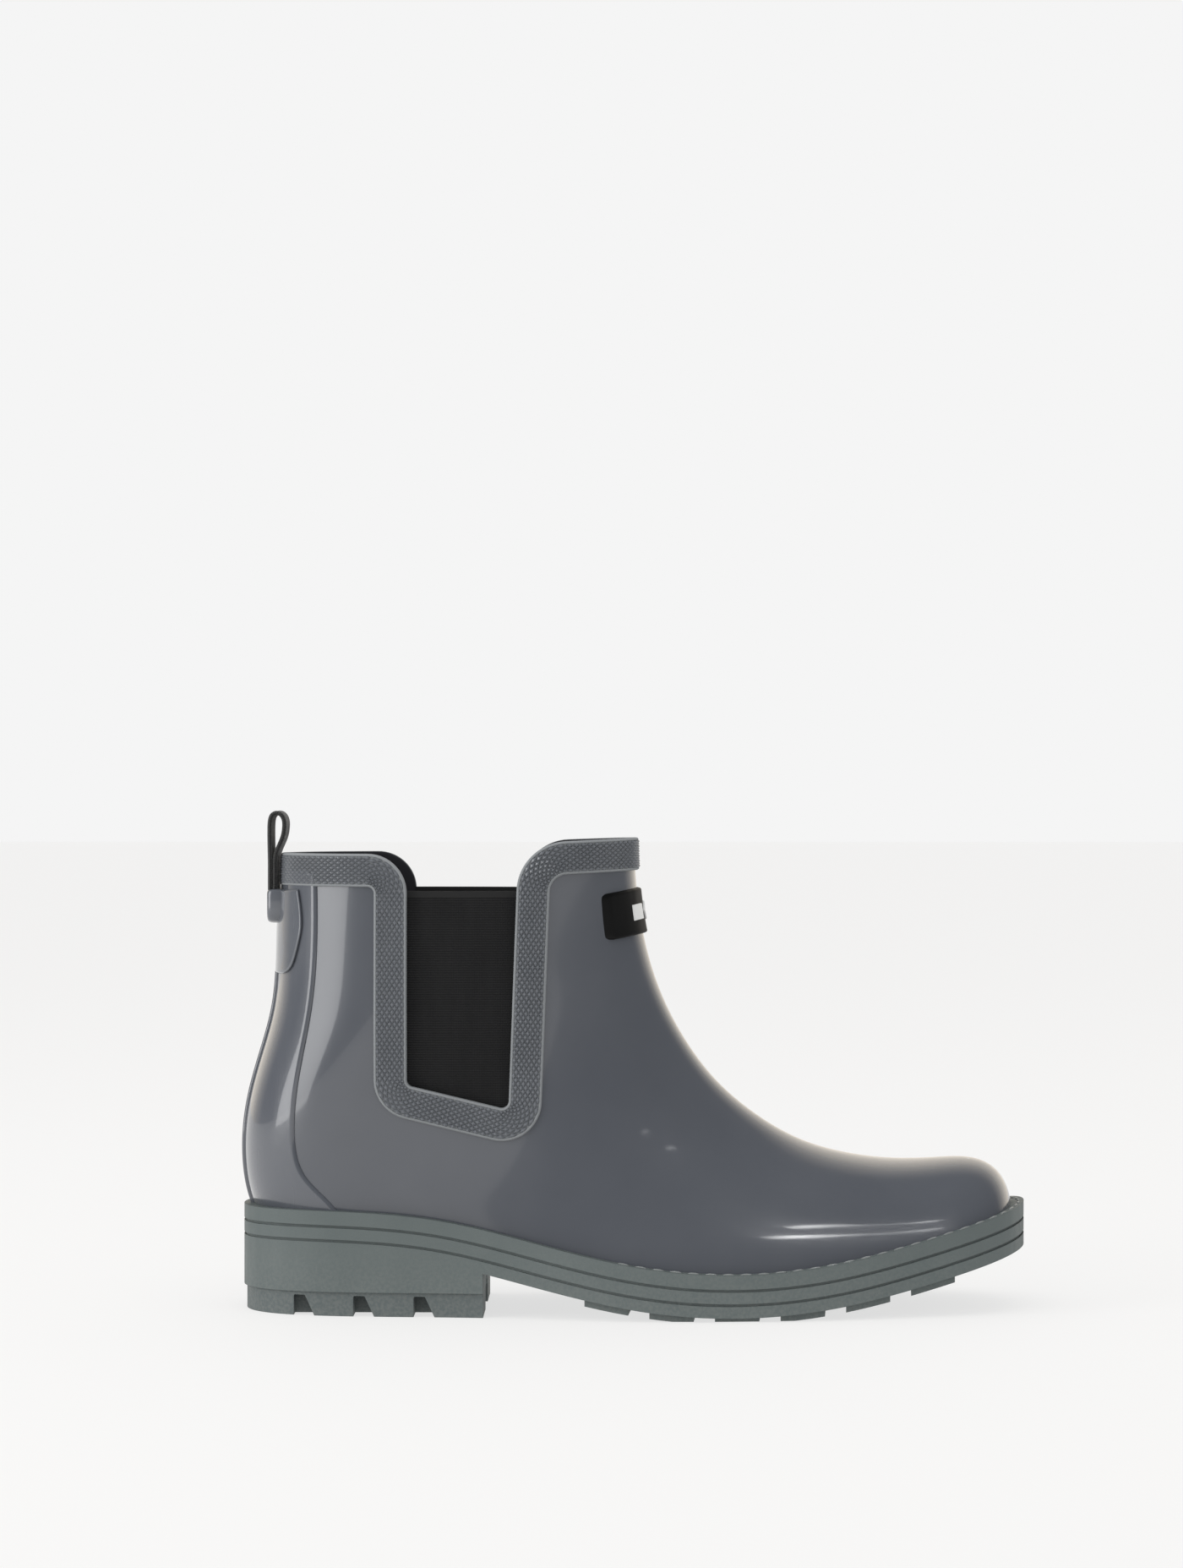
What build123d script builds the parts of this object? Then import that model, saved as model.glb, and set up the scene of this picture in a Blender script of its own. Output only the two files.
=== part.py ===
from build123d import *
from math import cos, hypot, pi, sqrt
import os

# Rubber ankle deck boot for the right foot, in millimetres. +X points to the toe, +Y to the
# inner (medial) side and +Z up. It is drawn with x = 0 at the back of the heel and z = 0 on the
# ground; save() then moves every piece so that the origin is under the middle of the heel.

# ---- overall sizes -----------------------------------------------------------------------------
sole_length = 280.0          # back of the heel to the tip of the toe
ball_half_width = 44.5       # upper at the ball of the foot
heel_half_width = 30.5       # upper round the heel seat
shaft_half_width = 35.0      # upper at the collar
collar_rear_height = 163.3   # top edge behind the elastic
collar_front_height = 168.8  # top edge at the shin
toe_box_height = 52.6        # top of the toe box
heel_seat_height = 37.3      # where the upper meets the sole, at the back
toe_spring_height = 38.0     # the same, at the tip of the toe
ball_seat_height = 15.4      # the same, under the ball
heel_centre_x = 40.0         # the part's origin is on the ground under this point

# ---- wall build-up, counted inwards from the outer face of the upper -----------------------------
rubber_wall = 1.8
stiffener_wall = 0.8
lining_wall = 1.8
overlay_rise = 1.1           # heel overlay stands proud of the upper
patch_rise = 1.1             # back patch and seam strip stand proud of the overlay
binding_rise = 1.4           # binding stands proud of the upper
label_rise = 1.6
emblem_rise = 0.6
gore_wall = 1.3
gore_hem_wall = 1.6

# ---- sole ----------------------------------------------------------------------------------------
welt_margin = 4.6            # sole edge beyond the upper
layer_thickness = 5.0        # welt, midsole and outsole alike
groove_height = 0.9          # shadow line under the welt and under the midsole
groove_depth = 0.8
heel_lift_height = 8.5
heel_breast_x = 86.0
heel_taper = 1.0
heel_slot_width = 22.0       # arched recess in the front face of the heel
heel_slot_height = 14.0
heel_slot_depth = 9.0
notch_height = 7.2
notch_width = 7.4            # at the ground
notch_lean = 3.4             # the front wall of each notch slants by this much
notch_depth = 13.0           # in from either side
notch_pitch = 21.4
notch_first_x = 18.6
notch_count = 3
lug_height = 2.4
lug_length = 15.5
lug_pitch = 23.0
lug_first_x = 124.0
lug_count = 6
lug_margin = 3.0             # the lugs stop short of the sole edge
tread_channel = 5.0          # gap between the inner and the outer row of lugs

# ---- inside the sole and under the foot ------------------------------------------------------------
filler_margin = 9.0          # the welt is a ring this wide inside the edge of the upper
insole_board_wall = 1.8
footbed_wall = 4.0
shank_start_x = 28.0
shank_length = 100.0
shank_width = 14.0
shank_wall = 1.2
shank_depth = 1.6            # below the insole board

# ---- elastic gore, binding and collar --------------------------------------------------------------
gore_rear_x = 58.9
gore_front_x = 98.3
gore_front_low_x = 94.8
gore_rear_low_z = 81.6
gore_front_low_z = 73.0
gore_top_z = 150.2
gore_hem_height = 2.4
gore_tuck = 6.0              # how far the elastic runs under the rubber
binding_width = 11.7
binding_lip = 1.3            # the binding wraps this far over the cut edge
collar_slope = 0.043         # the front of the collar climbs towards the shin
collar_rear_radius = 14.0
collar_front_radius = 18.0
gore_corner_radius = 2.5

# ---- back of the heel, pull loop and label -----------------------------------------------------------
strip_half_width = 3.6
patch_low_z = 120.0
patch_high_z = 150.4
patch_reach_x = 21.0         # front edge of the patch at its top
loop_half_width = 8.5
loop_ply = 1.8
loop_height = 27.6
loop_gap = 0.35              # clear of the cover below it and of the binding beside it
eye_height = 10.0            # hole between the two plies
eye_width = 3.2
cover_height = 12.5
cover_wall = 1.3
cover_side = 1.6
label_half_width = 21.0
label_height = 16.4
label_low_z = 133.6
emblem_bar_length = 6.4
emblem_bar_height = 5.6

# ---- imitation welt stitching ------------------------------------------------------------------------
stitch_length = 3.9
stitch_pitch = 6.1
stitch_width = 0.9
stitch_rise = 0.45
stitch_inset = 1.9           # stitch line in from the sole edge
stitch_start_x = 134.0

RING_STEPS = 18              # points along each half of a section
RINGS_PER_STATION = 2
OUTLINE_STEPS = 14           # points along each side of the sole
CREASE = 0.04                # the front and back ridges keep a faint edge
REACH = 200.0                # beyond the boot on every side, for cutting tools

# Side view of the last as section planes, from above the collar, down the leg, round the ankle and
# out to the toe. Columns: front x as a share of the sole length, front height above the toe box as a
# share of the rise to the front collar, back x, back height above the heel seat as a share of the
# rise to the rear collar, then length and fullness of the rounding at the front and at the back.
STATIONS = [
    (0.4985, 1.330, 0.050, 1.200, 0.52, 2.25, 0.46, 2.2),
    (0.4985, 1.120, 0.048, 1.070, 0.52, 2.25, 0.46, 2.2),
    (0.4965, 0.910, 0.046, 0.920, 0.54, 2.25, 0.44, 2.2),
    (0.507, 0.700, 0.043, 0.745, 0.57, 2.20, 0.40, 2.2),
    (0.529, 0.520, 0.0415, 0.550, 0.61, 2.15, 0.34, 2.2),
    (0.562, 0.369, 0.008, 0.350, 0.66, 2.10, 0.27, 2.2),
    (0.602, 0.240, -0.008, 0.130, 0.72, 2.10, 0.22, 2.2),
    (0.655, 0.135, 0.024, -0.150, 0.77, 2.15, 0.20, 2.3),
    (0.712, 0.055, 0.240, -0.279, 0.80, 2.25, 0.18, 2.5),
    (0.773, 0.016, 0.520, -0.371, 0.80, 2.40, 0.16, 2.8),
    (0.830, -0.001, 0.750, -0.387, 0.80, 2.50, 0.15, 3.0),
    (0.883, 0.002, 0.862, -0.387, 0.80, 2.50, 0.15, 3.0),
    (0.929, 0.011, 0.877, -0.387, 0.80, 2.45, 0.15, 3.0),
    (0.965, -0.020, 0.885, -0.378, 0.82, 2.35, 0.15, 3.0),
    (0.9855, -0.105, 0.892, -0.365, 0.84, 2.25, 0.15, 3.0),
    (0.9855, -0.235, 0.896, -0.347, 0.86, 2.20, 0.15, 3.0),
]
LAST_STATION = len(STATIONS) - 1


# ---- the last --------------------------------------------------------------------------------------
def blend(values, t):
    """Uniform cubic B-spline through its first and last value; t counts the values from 0."""
    last = len(values) - 1
    i = max(0, min(int(t), last - 1))
    f = t - i
    a = values[i - 1] if i > 0 else 2 * values[0] - values[1]
    d = values[i + 2] if i < last - 1 else 2 * values[last] - values[last - 1]
    b, c = values[i], values[i + 1]
    weights = ((1 - f) ** 3, 3 * f**3 - 6 * f**2 + 4, -3 * f**3 + 3 * f**2 + 3 * f + 1, f**3)
    return sum(w * v for w, v in zip(weights, (a, b, c, d))) / 6


def along(values, x):
    """A value that varies along the boot, from evenly spaced control values."""
    return blend(values, x / sole_length * (len(values) - 1))


def feather(x):
    """Height at which the upper meets the top of the sole."""
    ball, heel, toe = ball_seat_height, heel_seat_height, toe_spring_height
    return along([heel, heel, heel - 2, heel - 11, ball + 2.8, ball, ball + 3.1, ball + 12, toe], x)


def centre_y(x):
    """The toe of a right boot swings towards the inner side."""
    return along([0.0, 0.0, -2.0, -3.0, -1.0, 4.0, 7.0], x)


def half_width(x, z):
    """Half width of the last where the side view shows (x, z), before its ends are rounded."""
    ball, heel = ball_half_width, heel_half_width
    foot = along([heel, heel, heel + 1.5, ball, ball + 1.0, ball - 4.5, ball - 11.0], x)
    t = max(0.0, min(1.0, (z - heel_seat_height) / (0.5 * collar_rear_height)))
    t = t**3 * (10 - 15 * t + 6 * t * t)
    return foot + (shaft_half_width - foot) * t


def station(t):
    """Front end, back end and roundings of the section plane at t."""
    row = [blend([r[k] for r in STATIONS], t) for k in range(8)]
    front_rise = collar_front_height - toe_box_height
    back_rise = collar_rear_height - heel_seat_height
    front = (row[0] * sole_length, toe_box_height + row[1] * front_rise)
    back = (row[2] * sole_length, heel_seat_height + row[3] * back_rise)
    return front, back, row[4:]


def section(t, inset):
    """The same after the side view's outline has moved inwards by inset."""
    ahead = station(min(LAST_STATION, t + 0.02))
    behind = station(max(0.0, t - 0.02))
    ends = []
    for end, turn in ((0, 1), (1, -1)):
        dx = ahead[end][0] - behind[end][0]
        dz = ahead[end][1] - behind[end][1]
        size = hypot(dx, dz) * turn
        x, z = station(t)[end]
        ends.append((x + inset * dz / size, z - inset * dx / size))
    return ends[0], ends[1], station(t)[2]


def rounding(share, rounds):
    """0 at each end of a section and 1 in its middle."""
    front_length, front_full, back_length, back_full = rounds
    front = max(0.0, 1 - share / front_length)
    back = max(0.0, 1 - (1 - share) / back_length)
    return sqrt(max(0.0, 1 - front**front_full) * max(0.0, 1 - back**back_full))


def skin(t, share, side, inset=0.0):
    """Point of the last: share runs from 0 at the front ridge to 1 at the back; side is +1 or -1."""
    front, back, rounds = section(t, inset)
    x = front[0] + share * (back[0] - front[0])
    z = front[1] + share * (back[1] - front[1])
    return Vector(x, centre_y(x) + side * (half_width(x, z) - inset) * rounding(share, rounds), z)


def ring(t, inset):
    """Closed section of the last: one curve over the inner side and one over the outer side."""
    front, back, rounds = section(t, inset)
    lean = Vector(back[0] - front[0], 0, back[1] - front[1]).normalized() * CREASE
    across = Vector(0, 1, 0)
    speeds = []
    for end, length, full in ((front, rounds[0], rounds[1]), (back, rounds[2], rounds[3])):
        speeds.append((half_width(*end) - inset) * sqrt(full / length) * pi / 2)
    shares = [(1 - cos(pi * k / RING_STEPS)) / 2 for k in range(RING_STEPS + 1)]
    knots = [k / RING_STEPS for k in range(RING_STEPS + 1)]
    inner = [skin(t, share, 1, inset) for share in shares]
    outer = [skin(t, share, -1, inset) for share in reversed(shares)]
    starts = ((across + lean) * speeds[0], (-across - lean) * speeds[1])
    stops = ((lean - across) * speeds[1], (across - lean) * speeds[0])
    edges = []
    for points, start, stop in zip((inner, outer), starts, stops):
        edges.append(Edge.make_spline(points, tangents=[start, stop], parameters=knots, scale=False))
    return Wire(edges)


built_lasts = {}


def last_solid(inset):
    """The whole last, moved inwards by inset (outwards when negative)."""
    if inset not in built_lasts:
        count = LAST_STATION * RINGS_PER_STATION + 1
        rings = [ring(k / RINGS_PER_STATION, inset) for k in range(count)]
        built_lasts[inset] = Solid.make_loft(rings)
    return built_lasts[inset]


def end_at_height(end, height):
    """x of the front (0) or back (1) ridge of the leg at a height."""
    low, high = 0.0, 6.0
    for _ in range(40):
        middle = (low + high) / 2
        if station(middle)[end][1] > height:
            low = middle
        else:
            high = middle
    return station(low)[end][0]


# ---- cutting tools -------------------------------------------------------------------------------
def across_prism(edges):
    """Solid through the whole boot in Y from edges drawn in the XZ plane."""
    face = Face(Wire(edges)).moved(Location((0, -REACH, 0)))
    return Solid.extrude(face, Vector(0, 2 * REACH, 0))


def upright_prism(edges, low=-REACH, high=REACH):
    """Solid from edges drawn in the XY plane."""
    face = Face(Wire(edges)).moved(Location((0, 0, low)))
    return Solid.extrude(face, Vector(0, 0, high - low))


def along_prism(edges, low, high):
    """Solid from edges drawn in the YZ plane, between two values of x."""
    face = Face(Wire(edges)).moved(Location((low, 0, 0)))
    return Solid.extrude(face, Vector(high - low, 0, 0))


def rounded(corners, place, grow=0.0):
    """Edges of a polygon with rounded corners (u, v, radius), listed clockwise, moved outwards by
    grow. place turns (u, v) into a Vector."""
    count = len(corners)
    lines = []
    for k in range(count):
        (u0, v0, _), (u1, v1, _) = corners[k], corners[(k + 1) % count]
        size = hypot(u1 - u0, v1 - v0)
        du, dv = (u1 - u0) / size, (v1 - v0) / size
        lines.append((u0 - dv * grow, v0 + du * grow, du, dv))
    stops = []
    for k in range(count):
        (ua, va, dua, dva), (ub, vb, dub, dvb) = lines[k - 1], lines[k]
        turn = dua * dvb - dva * dub
        reach = ((ub - ua) * dvb - (vb - va) * dub) / turn
        u, v = ua + dua * reach, va + dva * reach
        radius = corners[k][2] + (grow if turn < 0 else -grow) if corners[k][2] else 0.0
        radius = max(radius, 0.0)
        bend = (dua * dub + dva * dvb)
        cut = radius * sqrt((1 - bend) / (1 + bend))
        size = hypot(dub - dua, dvb - dva)
        rise = (radius / sqrt((1 + bend) / 2) - radius) / size
        middle = (u + (dub - dua) * rise, v + (dvb - dva) * rise)
        stops.append(((u - dua * cut, v - dva * cut), middle, (u + dub * cut, v + dvb * cut), radius))
    edges = []
    for k in range(count):
        start, middle, end, radius = stops[k]
        if radius:
            edges.append(Edge.make_three_point_arc(place(*start), place(*middle), place(*end)))
        following = stops[(k + 1) % count][0]
        if hypot(following[0] - end[0], following[1] - end[1]) > 1e-4:
            edges.append(Edge.make_line(place(*end), place(*following)))
    return edges


def on_side(u, v):
    return Vector(u, 0, v)


def on_back(u, v):
    return Vector(0, u, v)


def on_plan(u, v):
    return Vector(u, v, 0)


def side_box(x0, x1, z0, z1):
    """Prism through the boot in Y over a rectangle of the side view."""
    corners = [(x0, z0, 0), (x0, z1, 0), (x1, z1, 0), (x1, z0, 0)]
    return across_prism(rounded(corners, on_side))


def feather_point(x, rise):
    """Point above (or below) the feather line, square to it."""
    slope = (feather(x + 0.5) - feather(x - 0.5)) / 1.0
    size = hypot(1, slope)
    return Vector(x - rise * slope / size, 0, feather(x) + rise / size)


def feather_edge(rise):
    """The feather line moved square to itself, running on past heel and toe."""
    xs = [-12 + k * (sole_length + 24) / 16 for k in range(17)]
    return Edge.make_spline([feather_point(x, rise) for x in xs])


def feather_band(low, high):
    """Prism through the boot in Y between two offsets of the feather line."""
    under, over = feather_edge(low), feather_edge(high)
    ends = [Edge.make_line(under @ 0, over @ 0), Edge.make_line(under @ 1, over @ 1)]
    return across_prism([under, over] + ends)


def above_feather():
    """Everything over the feather line."""
    edge = feather_edge(0)
    top = 1.4 * collar_front_height
    left, right = edge @ 0, edge @ 1
    corners = [left, Vector(-60, 0, left.Z), Vector(-60, 0, top)]
    corners += [Vector(sole_length + 60, 0, top), Vector(sole_length + 60, 0, right.Z), right]
    sides = [Edge.make_line(a, b) for a, b in zip(corners, corners[1:])]
    return across_prism([edge] + sides)


def opening(grow=0.0):
    """The collar line and the gore slot in side view, with all the space above them."""
    far = sole_length
    front_low = collar_front_height - (0.5 * sole_length - gore_front_x) * collar_slope
    corners = [
        (-90, collar_rear_height, 0),
        (-90, 2 * collar_front_height, 0),
        (far, 2 * collar_front_height, 0),
        (far, front_low + (far - gore_front_x) * collar_slope, 0),
        (gore_front_x, front_low, collar_front_radius),
        (gore_front_low_x, gore_front_low_z, gore_corner_radius),
        (gore_rear_x, gore_rear_low_z, gore_corner_radius),
        (gore_rear_x, collar_rear_height, collar_rear_radius),
    ]
    return across_prism(rounded(corners, on_side, grow))


def footprint():
    """Points where the skin of the last meets the feather line: inner side out, outer side back."""
    def gap(t, end):
        x, z = station(t)[end]
        return z - feather(x)

    limits = []
    for end, low, high in ((1, 5.0, 8.0), (0, 12.0, 15.0)):
        for _ in range(40):
            middle = (low + high) / 2
            low, high = (middle, high) if gap(middle, end) > 0 else (low, middle)
        limits.append(low)
    inner, outer = [], []
    for k in range(OUTLINE_STEPS + 1):
        t = limits[0] + (limits[1] - limits[0]) * (1 - cos(pi * k / OUTLINE_STEPS)) / 2
        low, high = 0.0, 1.0
        for _ in range(40):
            middle = (low + high) / 2
            point = skin(t, middle, 1)
            low, high = (middle, high) if point.Z > feather(point.X) else (low, middle)
        inner.append(skin(t, low, 1))
        outer.append(skin(t, low, -1))
    return inner + outer[-2:0:-1]


def outline_points(grow):
    """The footprint in plan, moved outwards by grow."""
    points = footprint()
    count = len(points)
    moved = []
    for k in range(count):
        a, b = points[k - 1], points[(k + 1) % count]
        size = hypot(b.X - a.X, b.Y - a.Y)
        x = points[k].X - (b.Y - a.Y) / size * grow
        y = points[k].Y + (b.X - a.X) / size * grow
        moved.append(Vector(x, y, 0))
    return moved


def outline_edge(grow):
    points = outline_points(grow)
    knots = [k / len(points) for k in range(len(points) + 1)]
    return Edge.make_spline(points, periodic=True, parameters=knots)


def sole_prism(grow):
    return upright_prism([outline_edge(grow)])


# ---- building blocks -----------------------------------------------------------------------------
def wall(outer, inner, *regions):
    """Layer of the upper between two insets, kept only inside every region."""
    region = regions[0]
    for other in regions[1:]:
        region = region & other
    return (region - last_solid(inner)) & last_solid(outer)


def side_of(lateral):
    """Half of space beside the centre line of the leg."""
    x = end_at_height(0, collar_front_height)
    y = centre_y(x)
    far = -REACH if lateral else REACH
    points = [Vector(-90, 0, 0), Vector(0, 0, 0), Vector(x, y, 0), Vector(sole_length + 90, y, 0)]
    points += [Vector(sole_length + 90, far, 0), Vector(-90, far, 0)]
    edges = [Edge.make_line(a, b) for a, b in zip(points, points[1:] + points[:1])]
    return upright_prism(edges)


def save(shape, name):
    solids = shape.solids()
    moved = Compound(children=[s.moved(Location((-heel_centre_x, 0, 0))) for s in solids])
    if len(solids) == 1:
        moved = solids[0].moved(Location((-heel_centre_x, 0, 0)))
    box = moved.bounding_box()
    print(f"{name:24s} solids {len(solids):3d} volume {moved.volume:10.0f} valid {moved.is_valid}"
          f" x {box.min.X:7.1f} {box.max.X:7.1f} y {box.min.Y:6.1f} {box.max.Y:6.1f}"
          f" z {box.min.Z:6.1f} {box.max.Z:6.1f}")
    export_step(moved, f"parts/{name}.step")


# ---- the upper -------------------------------------------------------------------------------------
def upper_shell(above):
    return wall(0, rubber_wall, above - opening(binding_lip))


def overlay_edge():
    """Front edge of the heel overlay in side view, from the collar down to the sole."""
    shares = [(0.0930, 1.02), (0.0950, 0.75), (0.0880, 0.56), (0.0720, 0.36), (0.0670, 0.24)]
    shares += [(0.0790, 0.10), (0.1130, 0.02), (0.1500, -0.10)]
    rise = collar_rear_height - heel_seat_height
    return [Vector(a * sole_length, 0, heel_seat_height + b * rise) for a, b in shares]


def overlay_region():
    points = overlay_edge()
    top, bottom = points[0], points[-1]
    edge = Edge.make_spline(points)
    corners = [top, Vector(-60, 0, top.Z), Vector(-60, 0, bottom.Z), bottom]
    return across_prism([edge] + [Edge.make_line(a, b) for a, b in zip(corners, corners[1:])])


def heel_overlay(above):
    return wall(-overlay_rise, 0, (above & overlay_region()) - opening(binding_width))


def back_patch():
    rise = patch_high_z - patch_low_z
    x, z = patch_reach_x, patch_low_z
    corners = [(-40, z, 0), (-40, patch_high_z, 0), (x - 1.5, patch_high_z, 0)]
    corners += [(x, z + 0.53 * rise, 4), (x - 3, z + 0.20 * rise, 5), (x - 8, z, 4)]
    region = across_prism(rounded(corners, on_side))
    return wall(-overlay_rise - patch_rise, -overlay_rise, region)


def back_seam_strip(above):
    wide = strip_half_width
    corners = [(-wide, -10, 0), (-wide, patch_low_z, 0), (wide, patch_low_z, 0), (wide, -10, 0)]
    column = along_prism(rounded(corners, on_back), -40, 30)
    return wall(-overlay_rise - patch_rise, -overlay_rise, above, column)


def binding(lateral):
    band = opening(binding_width) - opening(0)
    lip = opening(binding_lip) - opening(0)
    half = side_of(lateral)
    return wall(-binding_rise, 0, band, half) + wall(0, rubber_wall, lip, half)


def gore_box(grow, low, high):
    return side_box(gore_rear_x - grow, gore_front_x + grow, low, high)


def gore(lateral):
    below = gore_box(gore_tuck, 20, gore_top_z - gore_hem_height)
    return wall(rubber_wall, rubber_wall + gore_wall, opening(gore_tuck), below, side_of(lateral))


def gore_hem(lateral):
    strip = gore_box(gore_tuck, gore_top_z - gore_hem_height, gore_top_z)
    depth = rubber_wall + gore_hem_wall
    return wall(rubber_wall, depth, opening(gore_tuck), strip, side_of(lateral))


def toe_puff(above):
    x = 0.83 * sole_length
    corners = [(x - 9, -20, 0), (x + 6, 90, 0), (400, 90, 0), (400, -20, 0)]
    region = across_prism(rounded(corners, on_side))
    return wall(rubber_wall, rubber_wall + stiffener_wall, above, region)


def heel_counter(above):
    top, bend = 0.6 * collar_rear_height, heel_seat_height + 27
    corners = [(-60, -20, 0), (-60, top, 0), (20, top, 0), (gore_rear_x - 13, top - 5, 8)]
    corners += [(gore_rear_x - 9, bend, 8), (gore_rear_x + 24, heel_seat_height + 13, 10)]
    corners += [(gore_rear_x + 30, -20, 0)]
    region = across_prism(rounded(corners, on_side))
    return wall(rubber_wall, rubber_wall + stiffener_wall, above, region)


def lining(above, puff, counter):
    window = opening(gore_tuck + 0.3) & gore_box(gore_tuck + 0.3, 20, gore_top_z + 0.3)
    sheet = wall(rubber_wall, rubber_wall + lining_wall, above - opening(0))
    return sheet - window - puff - counter


def label_plate():
    centre = centre_y(end_at_height(0, label_low_z))
    low, high = label_low_z, label_low_z + label_height
    wide = label_half_width
    corners = [(centre - wide, low, 3), (centre - wide, high, 3)]
    corners += [(centre + wide, high, 3), (centre + wide, low, 3)]
    column = along_prism(rounded(corners, on_back), 0.37 * sole_length, 0.6 * sole_length)
    return wall(-label_rise, 0, column)


def label_emblem():
    """A plain device in place of a mark: a lozenge between two short bars."""
    y = centre_y(end_at_height(0, label_low_z))
    z = label_low_z + label_height / 2
    tall, high, length = 3.4, emblem_bar_height / 2, emblem_bar_length
    shapes = [[(y - 3.4, z, 0), (y, z + tall, 0), (y + 3.4, z, 0), (y, z - tall, 0)]]
    for start in (y - 6.0 - length, y + 6.0):
        end = start + length
        left = [(start, z - high, 0.6), (start, z + high, 0.6)]
        shapes.append(left + [(end, z + high, 0.6), (end, z - high, 0.6)])
    raised = []
    for corners in shapes:
        column = along_prism(rounded(corners, on_back), 0.37 * sole_length, 0.6 * sole_length)
        raised.append(wall(-label_rise - emblem_rise, -label_rise, column))
    return Compound(children=[s for shape in raised for s in shape.solids()])


# ---- pull loop ---------------------------------------------------------------------------------------
def loop_root_z():
    return patch_high_z + loop_gap


def loop_inner_x():
    """Inner face of the pull loop, just clear of the binding at the back of the collar."""
    heights = [loop_root_z() + k * (collar_rear_height - loop_root_z()) / 6 for k in range(7)]
    backs = [end_at_height(1, z) - binding_rise for z in heights]
    return min(backs) - loop_gap


def pull_loop():
    x, z = loop_inner_x(), loop_root_z()
    back = x - 2 * loop_ply
    top = z + loop_height
    front = back + 2 * loop_ply + eye_width
    shoulder = collar_rear_height + 0.7
    body = [(back, z, 0.3), (back, top, 3.4), (front, top, 3.4)]
    body += [(front, shoulder + 2.6, 1.5), (x, shoulder, 1.5), (x, z, 0.3)]
    high = top - loop_ply
    low = high - eye_height
    hole = [(back + loop_ply, low, 0.8), (back + loop_ply, high, 1.4)]
    hole += [(front - loop_ply, high, 1.4), (front - loop_ply, low + 2.0, 0.8)]
    keep = upright_prism(rounded([(-60, -loop_half_width, 0), (-60, loop_half_width, 0),
                                  (60, loop_half_width, 0), (60, -loop_half_width, 0)], on_plan))
    return (across_prism(rounded(body, on_side)) - across_prism(rounded(hole, on_side))) & keep


def cover_block(side, x, low, high):
    """Tongue-shaped block at the back, from x forward into the patch."""
    radius = 0.75 * side
    corners = [(-side, low, radius), (-side, high, 0), (side, high, 0), (side, low, radius)]
    return along_prism(rounded(corners, on_back), x, 40) - last_solid(-overlay_rise - patch_rise)


def loop_tail():
    x = loop_inner_x() - 2 * loop_ply + cover_wall - 0.2
    side = loop_half_width
    return cover_block(side, x, patch_high_z - cover_height + cover_wall, patch_high_z)


def loop_cover(tail):
    x = loop_inner_x() - 2 * loop_ply - 0.3
    side = loop_half_width + cover_side
    return cover_block(side, x, patch_high_z - cover_height, patch_high_z) - tail


# ---- under the foot and the sole -------------------------------------------------------------------
def insole(low, high):
    return last_solid(rubber_wall + lining_wall) & feather_band(low, high)


def shank():
    centre = centre_y(shank_start_x + shank_length / 2)
    half = shank_width / 2
    corners = [(shank_start_x, centre - half, half - 0.5), (shank_start_x, centre + half, half - 0.5)]
    end = shank_start_x + shank_length
    corners += [(end, centre + half, half - 0.5), (end, centre - half, half - 0.5)]
    column = upright_prism(rounded(corners, on_plan))
    return column & feather_band(-shank_depth - shank_wall, -shank_depth)


def filler():
    return sole_prism(-filler_margin) & feather_band(-layer_thickness, 0)


def welt():
    full = sole_prism(welt_margin) & feather_band(-layer_thickness, 0)
    return full - sole_prism(-filler_margin)


def grooved_layer(top):
    """Sole layer whose upper edge is set back to leave a shadow line under the layer above."""
    narrow = sole_prism(welt_margin - groove_depth) & feather_band(top - groove_height, top)
    wide = sole_prism(welt_margin) & feather_band(top - layer_thickness, top - groove_height)
    return narrow + wide


def heel_slot():
    """Arched recess in the front face of the heel."""
    half = heel_slot_width / 2
    centre = centre_y(heel_breast_x)
    shoulder = 0.45 * heel_slot_height
    corners = [(centre - half, -10, 0), (centre - half, shoulder, 0), (centre, heel_slot_height, 3)]
    corners += [(centre + half, shoulder, 0), (centre + half, -10, 0)]
    return along_prism(rounded(corners, on_back), heel_breast_x - heel_slot_depth, heel_breast_x + 1)


def tread_lugs():
    """Two rows of low blocks under the forepart, cut level with the ground."""
    low = -3 * layer_thickness - lug_height
    inside = sole_prism(welt_margin - lug_margin) & feather_band(low, -2.5 * layer_thickness)
    blocks = []
    for k in range(lug_count):
        x = lug_first_x + k * lug_pitch
        centre = centre_y(x)
        for side in (-1, 1):
            near, far = centre + side * tread_channel / 2, centre + side * 70
            lean = 4.0
            corners = [(x, near, 0), (x - lean, far, 0)]
            corners += [(x + lug_length - lean, far, 0), (x + lug_length, near, 0)]
            corners = corners if side > 0 else corners[::-1]
            blocks.append(upright_prism(rounded(corners, on_plan)) & inside)
    return blocks


def outsole():
    body = grooved_layer(-2 * layer_thickness)
    heel = sole_prism(welt_margin) & side_box(-20, heel_breast_x, heel_lift_height, heel_seat_height)
    heel = heel - feather_band(-2.9 * layer_thickness, heel_seat_height)
    shape = body + heel
    for lug in tread_lugs():
        shape = shape + lug
    return (shape - heel_slot()) & side_box(-50, sole_length + 50, 0, REACH)


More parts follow.
